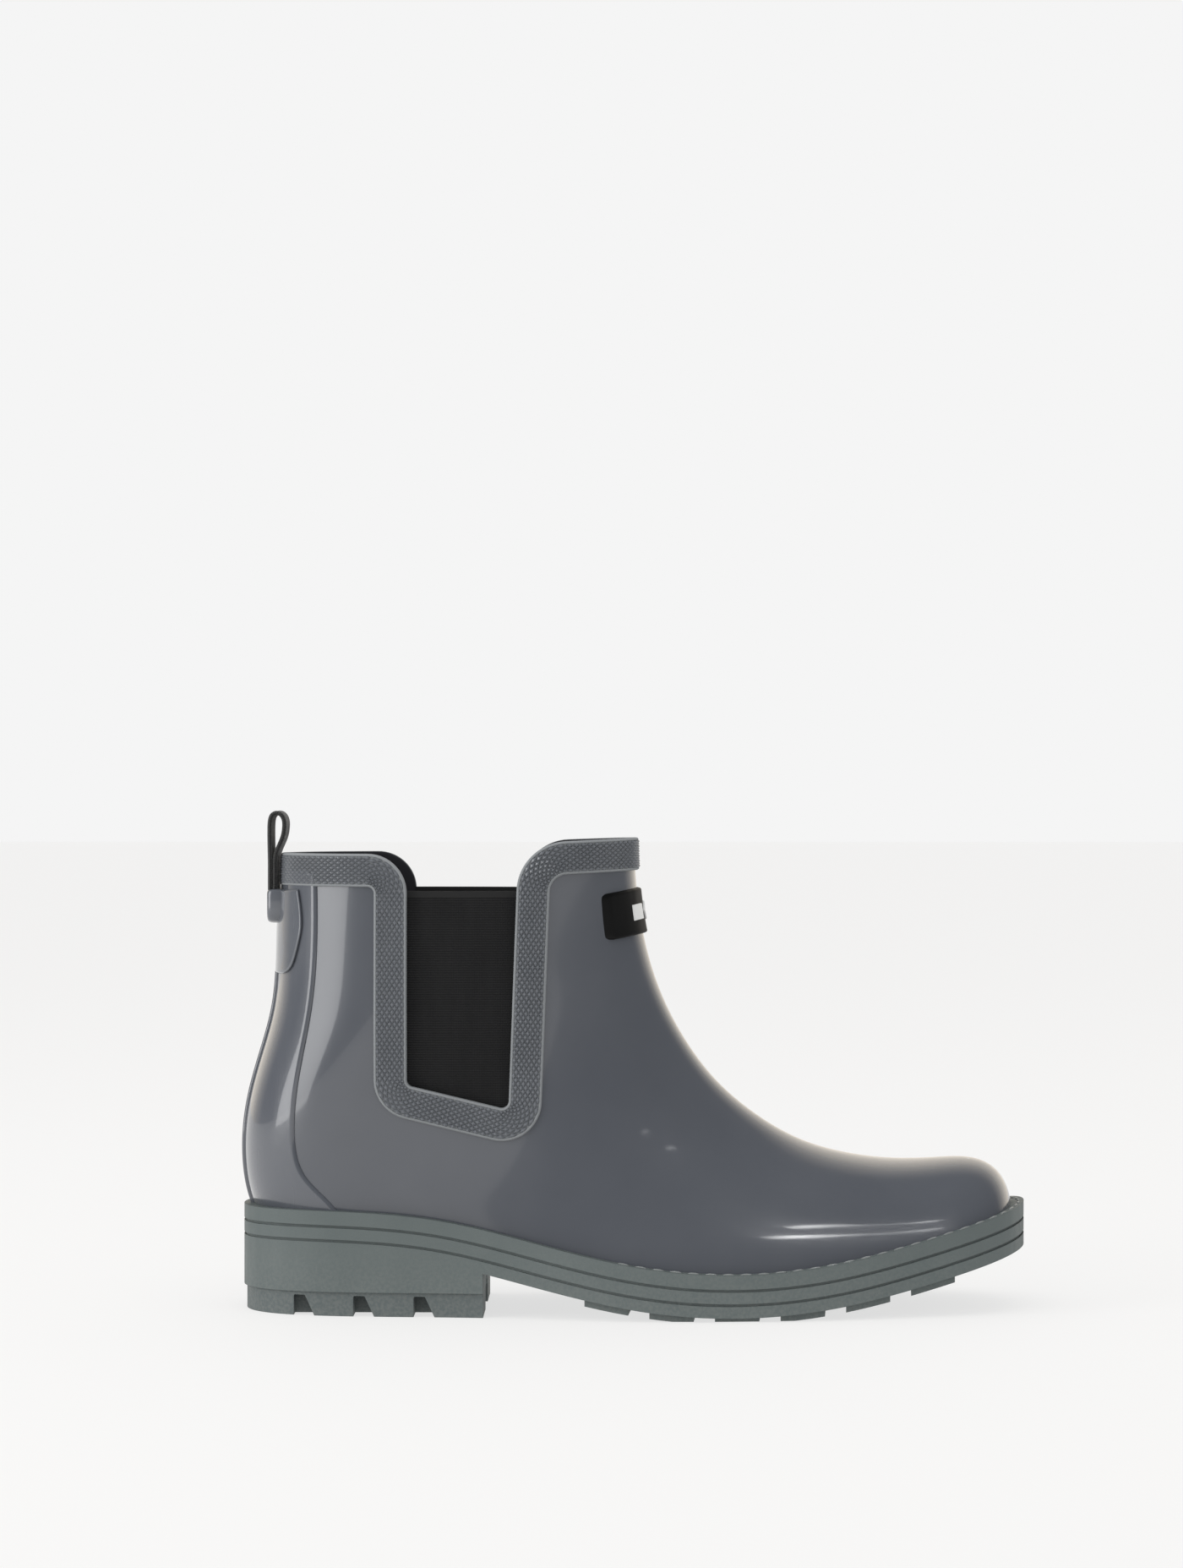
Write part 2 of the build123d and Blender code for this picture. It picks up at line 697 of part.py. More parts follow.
def heel_lift():
    block = sole_prism(welt_margin - heel_taper) & side_box(-20, heel_breast_x, 0, heel_lift_height)
    shape = block - heel_slot()
    inner = heel_half_width + welt_margin - notch_depth
    sides = []
    for side in (-1, 1):
        low, high = min(side * inner, side * REACH), max(side * inner, side * REACH)
        beside = Solid.make_box(2 * REACH, high - low, REACH)
        sides.append(beside.moved(Location((-REACH, low, -REACH / 2))))
    for k in range(notch_count):
        x = notch_first_x + k * notch_pitch
        corners = [(x, -5, 0), (x, notch_height, 0.6), (x + notch_width - notch_lean, notch_height, 0.6)]
        corners += [(x + notch_width + 0.7 * notch_lean, -5, 0)]
        channel = across_prism(rounded(corners, on_side))
        for half in sides:
            shape = shape - (channel & half)
    return shape


def stitches():
    """Short raised bars along the welt, from the waist round the toe."""
    path = outline_edge(welt_margin - stitch_inset)
    count = int(path.length / stitch_pitch)
    flat = []
    for k in range(count):
        centre = path.position_at(k / count)
        if centre.X < stitch_start_x:
            continue
        ahead = path.tangent_at(k / count).normalized()
        side = Vector(-ahead.Y, ahead.X, 0)
        half, wide = ahead * (stitch_length / 2), side * (stitch_width / 2)
        points = [centre - half - wide, centre - half + wide, centre + half + wide, centre + half - wide]
        edges = [Edge.make_line(a, b) for a, b in zip(points, points[1:] + points[:1])]
        flat.append(upright_prism(edges, 0, 60))
    layer = feather_band(0, stitch_rise)
    return Compound(children=[s for bar in flat for s in (bar & layer).solids()])


def build():
    os.makedirs("parts", exist_ok=True)
    above = above_feather()
    save(upper_shell(above), "upper_shell")
    save(heel_overlay(above), "heel_overlay")
    save(back_patch(), "back_patch")
    save(back_seam_strip(above), "back_seam_strip")
    for lateral, name in ((True, "lateral"), (False, "medial")):
        save(binding(lateral), f"collar_binding_{name}")
        save(gore(lateral), f"gore_{name}")
        save(gore_hem(lateral), f"gore_hem_{name}")
    puff = toe_puff(above)
    counter = heel_counter(above)
    save(puff, "toe_puff")
    save(counter, "heel_counter")
    save(lining(above, puff, counter), "lining")
    save(label_plate(), "label_plate")
    save(label_emblem(), "label_emblem")
    tail = loop_tail()
    save(pull_loop(), "pull_loop")
    save(tail, "pull_loop_tail")
    save(loop_cover(tail), "loop_cover")
    save(insole(0, insole_board_wall), "insole_board")
    save(insole(insole_board_wall, insole_board_wall + footbed_wall), "footbed")
    plate = shank()
    save(plate, "shank")
    save(filler() - plate, "bottom_filler")
    save(welt(), "welt")
    save(stitches(), "welt_stitches")
    save(grooved_layer(-layer_thickness), "midsole")
    save(outsole(), "outsole")
    save(heel_lift(), "heel_lift")


if __name__ == "__main__":
    build()
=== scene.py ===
"""A glossy rubber ankle boot with elastic sides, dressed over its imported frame."""
from __future__ import annotations

import logging
import math
import sys
from dataclasses import dataclass
from enum import Enum
from typing import Callable, Optional, Sequence

import bpy
import numpy as np
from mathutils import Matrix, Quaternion, Vector


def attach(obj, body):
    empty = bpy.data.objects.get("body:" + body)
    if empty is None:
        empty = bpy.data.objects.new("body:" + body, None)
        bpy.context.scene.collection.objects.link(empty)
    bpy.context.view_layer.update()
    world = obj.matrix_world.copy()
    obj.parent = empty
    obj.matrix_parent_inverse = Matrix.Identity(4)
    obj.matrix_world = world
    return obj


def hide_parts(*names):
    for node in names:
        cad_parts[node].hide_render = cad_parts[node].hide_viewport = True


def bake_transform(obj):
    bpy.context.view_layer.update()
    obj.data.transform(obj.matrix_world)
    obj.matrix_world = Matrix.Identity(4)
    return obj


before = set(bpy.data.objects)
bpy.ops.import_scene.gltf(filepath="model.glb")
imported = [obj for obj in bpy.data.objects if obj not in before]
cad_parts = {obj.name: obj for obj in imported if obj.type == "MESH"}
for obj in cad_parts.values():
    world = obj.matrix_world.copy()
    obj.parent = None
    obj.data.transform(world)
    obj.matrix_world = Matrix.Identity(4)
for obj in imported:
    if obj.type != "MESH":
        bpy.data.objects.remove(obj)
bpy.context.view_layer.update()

log = logging.getLogger("boot")

MM = 0.001
TURNS = 2 * math.pi / MM        # radians in a metre of map, for a thread of one mm
HEEL_CENTRE = 40.0      # the frame's origin is this far forward of the back of the heel, in mm
BOOT, LOOP = "boot", "loop"


class Side(Enum):
    """The two sides of the boot, as the sign of y."""

    LATERAL = -1
    MEDIAL = 1


class End(Enum):
    """The two ridges of the last, where its sides meet."""

    FRONT = 0
    BACK = 1


class Shape(Enum):
    """The two small shapes that repeat: a four-sided stud and a rounded dash."""

    DIAMOND = "diamond"
    DASH = "dash"


# ---- the last ----------------------------------------------------------------------------------

# Sections of the last: x of the front end as a share of the length, its height as a share between
# the toe box and the collar, the same for the back end between the heel seat and the collar, and
# the length and fullness of the rounding at either end.
STATIONS = (
    (0.4985, 1.330, 0.050, 1.200, 0.52, 2.25, 0.46, 2.2),
    (0.4985, 1.120, 0.048, 1.070, 0.52, 2.25, 0.46, 2.2),
    (0.4965, 0.910, 0.046, 0.920, 0.54, 2.25, 0.44, 2.2),
    (0.507, 0.700, 0.043, 0.745, 0.57, 2.20, 0.40, 2.2),
    (0.529, 0.520, 0.0415, 0.550, 0.61, 2.15, 0.34, 2.2),
    (0.562, 0.369, 0.008, 0.350, 0.66, 2.10, 0.27, 2.2),
    (0.602, 0.240, -0.008, 0.130, 0.72, 2.10, 0.22, 2.2),
    (0.655, 0.135, 0.024, -0.150, 0.77, 2.15, 0.20, 2.3),
    (0.712, 0.055, 0.240, -0.279, 0.80, 2.25, 0.18, 2.5),
    (0.773, 0.016, 0.520, -0.371, 0.80, 2.40, 0.16, 2.8),
    (0.830, -0.001, 0.750, -0.387, 0.80, 2.50, 0.15, 3.0),
    (0.883, 0.002, 0.862, -0.387, 0.80, 2.50, 0.15, 3.0),
    (0.929, 0.011, 0.877, -0.387, 0.80, 2.45, 0.15, 3.0),
    (0.965, -0.020, 0.885, -0.378, 0.82, 2.35, 0.15, 3.0),
    (0.9855, -0.105, 0.892, -0.365, 0.84, 2.25, 0.15, 3.0),
    (0.9855, -0.235, 0.896, -0.347, 0.86, 2.20, 0.15, 3.0),
)


def spline(values: Sequence[float], t: np.ndarray) -> np.ndarray:
    """A uniform cubic B-spline that starts at its first value and ends at its last.

    Args:
        values: Control values.
        t: Positions, counted in values from 0.

    Returns:
        The curve's value at each position.
    """
    v = np.asarray(values, float)
    t = np.asarray(t, float)
    i = np.clip(t.astype(int), 0, len(v) - 2)
    f = t - i
    held = np.concatenate([[2 * v[0] - v[1]], v, [2 * v[-1] - v[-2]]])
    weights = ((1 - f) ** 3, 3 * f**3 - 6 * f**2 + 4, -3 * f**3 + 3 * f**2 + 3 * f + 1, f**3)
    return sum(w * held[i + k] for k, w in enumerate(weights)) / 6


def halve(low: np.ndarray, high: np.ndarray, passes: Callable[[np.ndarray], np.ndarray],
          times: int) -> tuple[np.ndarray, np.ndarray]:
    """Closes in, by halves, on the place where a test stops passing.

    Args:
        low: Values that pass.
        high: Values that fail.
        passes: The test.
        times: How often the range is halved.

    Returns:
        The last passing and the first failing value.
    """
    for _ in range(times):
        middle = (low + high) / 2
        passed = passes(middle)
        low, high = np.where(passed, middle, low), np.where(passed, high, middle)
    return low, high


def distances(points: np.ndarray) -> np.ndarray:
    """How far along a line each of its points lies.

    Args:
        points: The line's points, one row each.

    Returns:
        Distances from the first point.
    """
    return np.concatenate([[0], np.cumsum(np.linalg.norm(np.diff(points, axis=0), axis=1))])


def unit(rows: np.ndarray) -> np.ndarray:
    """Vectors made 1 long.

    Args:
        rows: The vectors, one row each.

    Returns:
        The unit vectors.
    """
    return rows / np.linalg.norm(rows, axis=1)[:, None]


def eased(start: float, stop: float, count: int) -> np.ndarray:
    """Values that lie closer together towards both ends.

    Args:
        start: First value.
        stop: Last value.
        count: How many.

    Returns:
        The values.
    """
    return start + (stop - start) * (1 - np.cos(np.linspace(0, math.pi, count))) / 2


@dataclass
class Last:
    """The form the upper is moulded on. All sizes in mm, x from the back of the heel."""

    length: float = 280.0
    ball_half: float = 44.5
    heel_half: float = 30.5
    shaft_half: float = 35.0
    collar_rear: float = 163.3
    collar_front: float = 168.8
    toe_box: float = 52.6
    heel_seat: float = 37.3
    toe_spring: float = 38.0
    ball_seat: float = 15.4
    front_core: float = 80.0
    back_core: float = 70.0
    farthest: float = 90.0
    samples: int = 3001

    def __post_init__(self) -> None:
        self.top = float(len(STATIONS) - 1)
        self.ts = np.linspace(0.0, self.top, self.samples)
        here, ahead, behind = (self._station(np.clip(self.ts + d, 0, self.top)) for d in (0, 0.02, -0.02))
        columns = []
        for end, turn in ((0, 1), (2, -1)):
            dx, dz = ahead[:, end] - behind[:, end], ahead[:, end + 1] - behind[:, end + 1]
            size = np.hypot(dx, dz) * turn
            columns += [here[:, end], here[:, end + 1], dz / size, -dx / size]
        self.columns = columns + [here[:, k] for k in range(4, 8)]

    def _station(self, t: np.ndarray) -> np.ndarray:
        """Ends and roundings of the sections.

        Args:
            t: Sections, counted from 0 at the collar.

        Returns:
            One row for each section.
        """
        row = np.stack([spline([r[k] for r in STATIONS], t) for k in range(8)], -1)
        row[:, 0] *= self.length
        row[:, 2] *= self.length
        row[:, 1] = self.toe_box + row[:, 1] * (self.collar_front - self.toe_box)
        row[:, 3] = self.heel_seat + row[:, 3] * (self.collar_rear - self.heel_seat)
        return row

    def along(self, values: Sequence[float], x: np.ndarray) -> np.ndarray:
        """A value that varies along the boot.

        Args:
            values: Evenly spaced control values.
            x: From the back of the heel, in mm.

        Returns:
            The value at each x.
        """
        return spline(values, np.asarray(x, float) / self.length * (len(values) - 1))

    def feather(self, x: np.ndarray) -> np.ndarray:
        """Height at which the upper meets the sole."""
        b, h, t = self.ball_seat, self.heel_seat, self.toe_spring
        return self.along([h, h, h - 2, h - 11, b + 2.8, b, b + 3.1, b + 12, t], x)

    def centre(self, x: np.ndarray) -> np.ndarray:
        """y of the middle of the boot, which swings inwards at the toe."""
        return self.along([0.0, 0.0, -2.0, -3.0, -1.0, 4.0, 7.0], x)

    def half_width(self, x: np.ndarray, z: np.ndarray) -> np.ndarray:
        """Half width before the ends are rounded.

        Args:
            x: From the back of the heel, in mm.
            z: Height, in mm.

        Returns:
            Half widths, in mm.
        """
        b, h = self.ball_half, self.heel_half
        foot = self.along([h, h, h + 1.5, b, b + 1.0, b - 4.5, b - 11.0], x)
        t = np.clip((np.asarray(z) - self.heel_seat) / (0.5 * self.collar_rear), 0.0, 1.0)
        t = t**3 * (10 - 15 * t + 6 * t * t)
        return foot + (self.shaft_half - foot) * t

    def ends(self, t: np.ndarray, inset: np.ndarray) -> tuple[np.ndarray, ...]:
        """Ends of the sections, moved inwards, and their roundings.

        Args:
            t: Sections, counted from 0 at the collar.
            inset: How far inside the last's own surface, in mm.

        Returns:
            Front x and z, back x and z, then the four values of the rounding.
        """
        fx, fz, fu, fv, bx, bz, bu, bv, *rounds = (np.interp(t, self.ts, c) for c in self.columns)
        return fx + inset * fu, fz + inset * fv, bx + inset * bu, bz + inset * bv, *rounds

    @staticmethod
    def rounding(share: np.ndarray, front_length: np.ndarray, front_fullness: np.ndarray,
                 back_length: np.ndarray, back_fullness: np.ndarray) -> np.ndarray:
        """How full a section is across its length.

        Args:
            share: Place in the section, 0 in front and 1 behind.
            front_length: Share of the section that the front rounding takes.
            front_fullness: Its power.
            back_length: Share that the back rounding takes.
            back_fullness: Its power.

        Returns:
            0 at each end of the section and 1 in its middle.
        """
        share = np.clip(share, 0.0, 1.0)
        front = np.clip(1 - share / front_length, 0, 1)
        back = np.clip(1 - (1 - share) / back_length, 0, 1)
        return np.sqrt(np.clip(1 - front**front_fullness, 0, 1) * np.clip(1 - back**back_fullness, 0, 1))

    def skin(self, t: np.ndarray, share: np.ndarray, side: np.ndarray, inset: np.ndarray) -> np.ndarray:
        """Points of the last.

        Args:
            t: Sections, counted from 0 at the collar.
            share: Place in the section, 0 in front and 1 behind.
            side: Side of the boot, -1 or 1.
            inset: How far inside the last's own surface, in mm.

        Returns:
            Points in mm, in the last axis.
        """
        t, share, side, inset = np.broadcast_arrays(t, share, side, inset)
        fx, fz, bx, bz, *rounds = self.ends(t, inset)
        x, z = fx + share * (bx - fx), fz + share * (bz - fz)
        y = self.centre(x) + side * (self.half_width(x, z) - inset) * self.rounding(share, *rounds)
        return np.stack([x, y, z], -1)

    def around(self, t: np.ndarray, columns: int, inset: float) -> np.ndarray:
        """Closed rings of the skin, closer together at the ridges.

        Args:
            t: Sections, counted from 0 at the collar.
            columns: Points on each side.
            inset: How far inside the last's own surface, in mm.

        Returns:
            Points, sections by twice the columns by 3.
        """
        share = eased(0.0, 1.0, columns + 1)
        shares = np.concatenate([share[:-1], share[:0:-1]])
        sides = np.repeat([-1.0, 1.0], columns)
        return self.skin(t[:, None], shares[None], sides[None], inset)

    def locate(self, x: np.ndarray, z: np.ndarray, inset: np.ndarray) -> tuple[np.ndarray, np.ndarray]:
        """Where on the last a point seen from the side lies.

        Args:
            x: From the back of the heel, in mm.
            z: Height, in mm.
            inset: How far inside the last's own surface, in mm.

        Returns:
            Section and share of each point; the share isn't clipped.
        """
        x, z, inset = np.broadcast_arrays(*(np.asarray(a, float) for a in (x, z, inset)))

        def below(t: np.ndarray) -> np.ndarray:
            """Whether the section at t lies above the point."""
            fx, fz, bx, bz, *_rest = self.ends(t, inset)
            return (bx - fx) * (z - fz) - (bz - fz) * (x - fx) > 0

        low, _high = halve(np.zeros(x.shape), np.full(x.shape, self.top), below, 30)
        fx, fz, bx, bz, *_rest = self.ends(low, inset)
        share = ((x - fx) * (bx - fx) + (z - fz) * (bz - fz)) / ((bx - fx) ** 2 + (bz - fz) ** 2)
        return low, share

    def at(self, x: np.ndarray, z: np.ndarray, side: float, inset: np.ndarray) -> np.ndarray:
        """Points of the skin seen from the side.

        Args:
            x: From the back of the heel, in mm.
            z: Height, in mm.
            side: Side of the boot, -1 or 1.
            inset: How far inside the last's own surface, in mm.

        Returns:
            Points in mm, in the last axis.
        """
        x, z, inset = np.broadcast_arrays(*(np.asarray(a, float) for a in (x, z, inset)))
        t, share = self.locate(x, z, inset)
        _fx, _fz, _bx, _bz, *rounds = self.ends(t, inset)
        y = self.centre(x) + side * (self.half_width(x, z) - inset) * self.rounding(share, *rounds)
        return np.stack([x, y, z], -1)

    def reach(self, x: np.ndarray, z: np.ndarray, dx: float, dz: float, inset: np.ndarray) -> np.ndarray:
        """How far a line goes before it leaves the side view's outline.

        Args:
            x: From the back of the heel, in mm.
            z: Height, in mm.
            dx: The line's direction along x.
            dz: Its direction along z.
            inset: How far inside the last's own surface, in mm.

        Returns:
            Distances in mm.
        """

        def inside(d: np.ndarray) -> np.ndarray:
            """Whether the line is still inside after d."""
            _t, share = self.locate(x + d * dx, z + d * dz, inset)
            return (share > 0) & (share < 1)

        return halve(np.zeros(np.shape(x)), np.full(np.shape(x), self.farthest), inside, 24)[0]

    def facing(self, end: End, y: np.ndarray, z: np.ndarray, inset: np.ndarray) -> np.ndarray:
        """Points of the front or back of the leg.

        Args:
            end: Which ridge.
            y: From the middle of the boot, in mm.
            z: Height, in mm.
            inset: How far inside the last's own surface, in mm.

        Returns:
            Points in mm, in the last axis.
        """
        y, z, inset = np.broadcast_arrays(*(np.asarray(a, float) for a in (y, z, inset)))
        turn = 1.0 if end is End.FRONT else -1.0
        core = np.full(y.shape, self.front_core if end is End.FRONT else self.back_core)

        def wide(d: np.ndarray) -> np.ndarray:
            """Whether the leg is wider than y.

            Args:
                d: Distance from its core, in mm.

            Returns:
                True where it is wider.
            """
            x = core + turn * d
            t, share = self.locate(x, z, inset)
            _fx, _fz, _bx, _bz, *rounds = self.ends(t, inset)
            return (self.half_width(x, z) - inset) * self.rounding(share, *rounds) > np.abs(y)

        low, high = halve(np.zeros(y.shape), self.reach(core, z, turn, 0.0, inset), wide, 26)
        x = core + turn * (low + high) / 2
        return np.stack([x, self.centre(x) + y, z], -1)


def smooth_curve(points: Sequence[tuple[float, float]], samples: int = 200) -> np.ndarray:
    """The natural cubic spline through points in a plane, even in its chords.

    Args:
        points: The points it goes through.
        samples: How many points come back.

    Returns:
        Points of the curve, one row each.
    """
    p = np.asarray(points, float)
    knots = distances(p)
    h = np.diff(knots)[:, None]
    count = len(p)
    system, right = np.eye(count), np.zeros(p.shape)
    for k in range(1, count - 1):
        system[k, k - 1:k + 2] = h[k - 1, 0], 2 * (h[k - 1, 0] + h[k, 0]), h[k, 0]
        right[k] = 3 * ((p[k + 1] - p[k]) / h[k] - (p[k] - p[k - 1]) / h[k - 1])
    bend = np.linalg.solve(system, right)
    slope = (p[1:] - p[:-1]) / h - h * (2 * bend[:-1] + bend[1:]) / 3
    t = np.linspace(0, knots[-1], samples)
    i = np.clip(np.searchsorted(knots, t, side="right") - 1, 0, count - 2)
    f = (t - knots[i])[:, None]
    return p[i] + slope[i] * f + bend[i] * f**2 + (bend[i + 1] - bend[i]) / (3 * h[i]) * f**3


# ---- meshes ------------------------------------------------------------------------------------


def in_frame(points: np.ndarray) -> np.ndarray:
    """Moves points into the frame.

    Args:
        points: In mm from the back of the heel.

    Returns:
        The same points in metres.
    """
    return (np.asarray(points, float) - (HEEL_CENTRE, 0.0, 0.0)) * MM


def put(name: str, data: bpy.types.ID) -> bpy.types.Object:
    """Places new data in the scene.

    Args:
        name: Name of the object.
        data: Its mesh, camera or lamp.

    Returns:
        The new object, at the origin.
    """
    obj = bpy.data.objects.new(name, data)
    bpy.context.scene.collection.objects.link(obj)
    return obj


def build_mesh(name: str, points: np.ndarray, faces: np.ndarray, sharp: float = 40.0) -> bpy.types.Object:
    """An object from points in mm and faces, shaded smooth up to an angle.

    Args:
        name: Name of the piece.
        points: Vertices in mm from the back of the heel.
        faces: Vertex numbers, one row of a face each, or a list of uneven rows.
        sharp: Angle in degrees over which an edge stays sharp.

    Returns:
        The new object, at the origin.
    """
    mesh = bpy.data.meshes.new(name)
    mesh.from_pydata(in_frame(points).tolist(), [], [list(map(int, f)) for f in faces])
    mesh.validate()
    mesh.update()
    mesh.shade_smooth()
    mesh.set_sharp_from_angle(angle=math.radians(sharp))
    return put(name, mesh)


def grid_faces(rows: int, columns: int, wrap_rows: bool = False, wrap_columns: bool = False,
               start: int = 0, flip: bool = False) -> np.ndarray:
    """Quads between the points of a grid.

    Args:
        rows: Rows of points.
        columns: Points in a row.
        wrap_rows: Whether the last row joins the first.
        wrap_columns: Whether each row's end joins its start.
        start: Number of the first vertex.
        flip: Whether the faces turn the other way.

    Returns:
        Vertex numbers, four to a row.
    """
    r = np.arange(rows if wrap_rows else rows - 1)
    c = np.arange(columns if wrap_columns else columns - 1)
    r, c = (a.ravel() for a in np.meshgrid(r, c, indexing="ij"))
    r1, c1 = (r + 1) % rows, (c + 1) % columns
    quads = np.stack([r * columns + c, r * columns + c1, r1 * columns + c1, r1 * columns + c], -1) + start
    return quads[:, ::-1] if flip else quads


def outward(obj: bpy.types.Object) -> bpy.types.Object:
    """Turns a closed mesh's faces outwards, by the sign of its volume.

    Args:
        obj: The piece.

    Returns:
        The same object.
    """
    mesh = obj.data
    mesh.calc_loop_triangles()
    co = np.zeros(len(mesh.vertices) * 3)
    mesh.vertices.foreach_get("co", co)
    co = co.reshape(-1, 3)
    corners = np.zeros(len(mesh.loop_triangles) * 3, int)
    mesh.loop_triangles.foreach_get("vertices", corners)
    a, b, c = (co[corners.reshape(-1, 3)[:, k]] - co.mean(0) for k in range(3))
    if np.einsum("ij,ij->i", a, np.cross(b, c)).sum() < 0:
        mesh.flip_normals()
    return obj


def slab(name: str, top: np.ndarray, bottom: np.ndarray, sharp: float = 40.0) -> bpy.types.Object:
    """A closed piece between two grids of the same size.

    Args:
        name: Name of the piece.
        top: Outer points, rows by columns by 3, in mm.
        bottom: Inner points of the same shape.
        sharp: Angle in degrees over which an edge stays sharp.

    Returns:
        The new object.
    """
    rows, columns = top.shape[:2]
    count = rows * columns
    faces = [grid_faces(rows, columns), grid_faces(rows, columns, start=count, flip=True)]
    rim = ([(0, c) for c in range(columns)] + [(r, columns - 1) for r in range(1, rows)]
           + [(rows - 1, c) for c in range(columns - 2, -1, -1)] + [(r, 0) for r in range(rows - 2, 0, -1)])
    ids = np.array([r * columns + c for r, c in rim])
    following = np.roll(ids, -1)
    faces.append(np.stack([following, ids, ids + count, following + count], -1))
    points = np.vstack([top.reshape(-1, 3), bottom.reshape(-1, 3)])
    return outward(build_mesh(name, points, np.vstack(faces), sharp))


def tube(name: str, rings: np.ndarray, sharp: float = 40.0) -> bpy.types.Object:
    """A closed piece from a row of closed rings, with its two ends filled.

    Args:
        name: Name of the piece.
        rings: Rings by points by 3, in mm.
        sharp: Angle in degrees over which an edge stays sharp.

    Returns:
        The new object.
    """
    rows, columns = rings.shape[:2]
    faces = [list(f) for f in grid_faces(rows, columns, wrap_columns=True)]
    faces.append(list(range(columns)))
    faces.append([(rows - 1) * columns + c for c in range(columns - 1, -1, -1)])
    return outward(build_mesh(name, rings.reshape(-1, 3), faces, sharp))


def sheet(name: str, grid: np.ndarray, keep: np.ndarray, wrap: bool, thickness: float) -> bpy.types.Object:
    """A sheet from part of a grid, thickened inwards.

    Args:
        name: Name of the piece.
        grid: Rows by columns by 3, in mm.
        keep: Which points stay; a face stays with all its corners.
        wrap: Whether each row's end joins its start.
        thickness: Thickness in mm.

    Returns:
        The closed piece.
    """
    rows, columns = grid.shape[:2]
    faces = grid_faces(rows, columns, wrap_columns=wrap)
    faces = faces[keep.ravel()[faces].all(1)]
    used = np.unique(faces)
    order = np.full(rows * columns, -1)
    order[used] = np.arange(len(used))
    obj = build_mesh(name, grid.reshape(-1, 3)[used], order[faces], 60.0)
    middle = obj.data.polygons[len(obj.data.polygons) // 2]
    centre = Vector((middle.center.x, 0.0, middle.center.z))
    if middle.normal.dot(middle.center - centre) < 0:
        obj.data.flip_normals()
    modifier = obj.modifiers.new("wall", "SOLIDIFY")
    modifier.thickness, modifier.offset = thickness * MM, -1.0
    modifier.use_even_offset = False
    bpy.context.view_layer.update()
    mesh = bpy.data.meshes.new_from_object(obj.evaluated_get(bpy.context.evaluated_depsgraph_get()))
    obj.modifiers.clear()
    obj.data = mesh
    return obj


def join(parts: Sequence[bpy.types.Object], name: str) -> bpy.types.Object:
    """Makes one object of several that share a place.

    Args:
        parts: The objects.
        name: Name of the result.

    Returns:
        The joined object.
    """
    first = parts[0]
    with bpy.context.temp_override(active_object=first, object=first, selected_objects=list(parts),
                                   selected_editable_objects=list(parts)):
        bpy.ops.object.join()
    first.name = name
    first.data.name = name
    return first


def edge_profile(distance: np.ndarray, radius: float) -> np.ndarray:
    """Height of a rounded edge as a share of its full height.

    Args:
        distance: Distance from the edge's foot.
        radius: Its radius.

    Returns:
        Heights from 0 to 1.
    """
    d = np.clip(1 - np.asarray(distance) / radius, 0, 1)
    return np.sqrt(np.clip(1 - d * d, 0, 1))


def edge_steps(radius: float, steps: int = 6) -> list[float]:
    """Distances from an edge that draw its rounding.

    Args:
        radius: Its radius.
        steps: How many.

    Returns:
        The distances.
    """
    return [radius * (1 - math.cos(a)) for a in np.linspace(0, math.pi / 2, steps)]


# ---- finishes ----------------------------------------------------------------------------------


class Shade:
    """Small helper that builds one node tree, whether a material or a group."""

    def __init__(self, tree: bpy.types.NodeTree) -> None:
        """Keeps the tree."""
        self.tree = tree

    def node(self, kind: str, **settings: object) -> bpy.types.Node:
        """Adds a node.

        Args:
            kind: Its type.
            settings: Its properties; a key that names an input sets that input.

        Returns:
            The node.
        """
        made = self.tree.nodes.new(kind)
        for key, value in settings.items():
            if hasattr(made, key):
                setattr(made, key, value)
            else:
                made.inputs[key.replace("_", " ")].default_value = value
        return made

    def link(self, source: bpy.types.NodeSocket, target: bpy.types.NodeSocket) -> None:
        """Joins two sockets."""
        self.tree.links.new(source, target)

    def math(self, kind: str, a: object, b: object = 0.0, clamp: bool = False) -> bpy.types.NodeSocket:
        """Adds a Math node.

        Args:
            kind: The operation.
            a: First value or socket.
            b: Second value or socket.
            clamp: Whether the result stays between 0 and 1.

        Returns:
            Its output.
        """
        made = self.tree.nodes.new("ShaderNodeMath")
        made.operation, made.use_clamp = kind, clamp
        for socket, value in zip(made.inputs, (a, b)):
            if isinstance(value, bpy.types.NodeSocket):
                self.link(value, socket)
            else:
                socket.default_value = value
        return made.outputs[0]

    def mix(self, factor: object, a: object, b: object) -> bpy.types.NodeSocket:
        """Mixes two colours.

        Args:
            factor: How much of the second.
            a: First colour or socket.
            b: Second colour or socket.

        Returns:
            The mixed colour.
        """
        made = self.tree.nodes.new("ShaderNodeMix")
        made.data_type = "RGBA"
        for name, value in (("Factor", factor), ("A", a), ("B", b)):
            socket = next(s for s in made.inputs if s.name == name and s.enabled)
            if isinstance(value, bpy.types.NodeSocket):
                self.link(value, socket)
            else:
                socket.default_value = (*value, 1.0) if isinstance(value, tuple) else value
        return next(s for s in made.outputs if s.enabled)

    def ramp(self, value: bpy.types.NodeSocket, low: float, high: float,
             out_low: float = 0.0, out_high: float = 1.0) -> bpy.types.NodeSocket:
        """Stretches a value from one range to another and clamps it.

        Args:
            value: The value.
            low: Start of its range.
            high: End of its range.
            out_low: Start of the new range.
            out_high: End of the new range.

        Returns:
            The new value.
        """
        made = self.tree.nodes.new("ShaderNodeMapRange")
        self.link(value, made.inputs["Value"])
        for name, number in zip(("From Min", "From Max", "To Min", "To Max"), (low, high, out_low, out_high)):
            made.inputs[name].default_value = number
        return made.outputs["Result"]


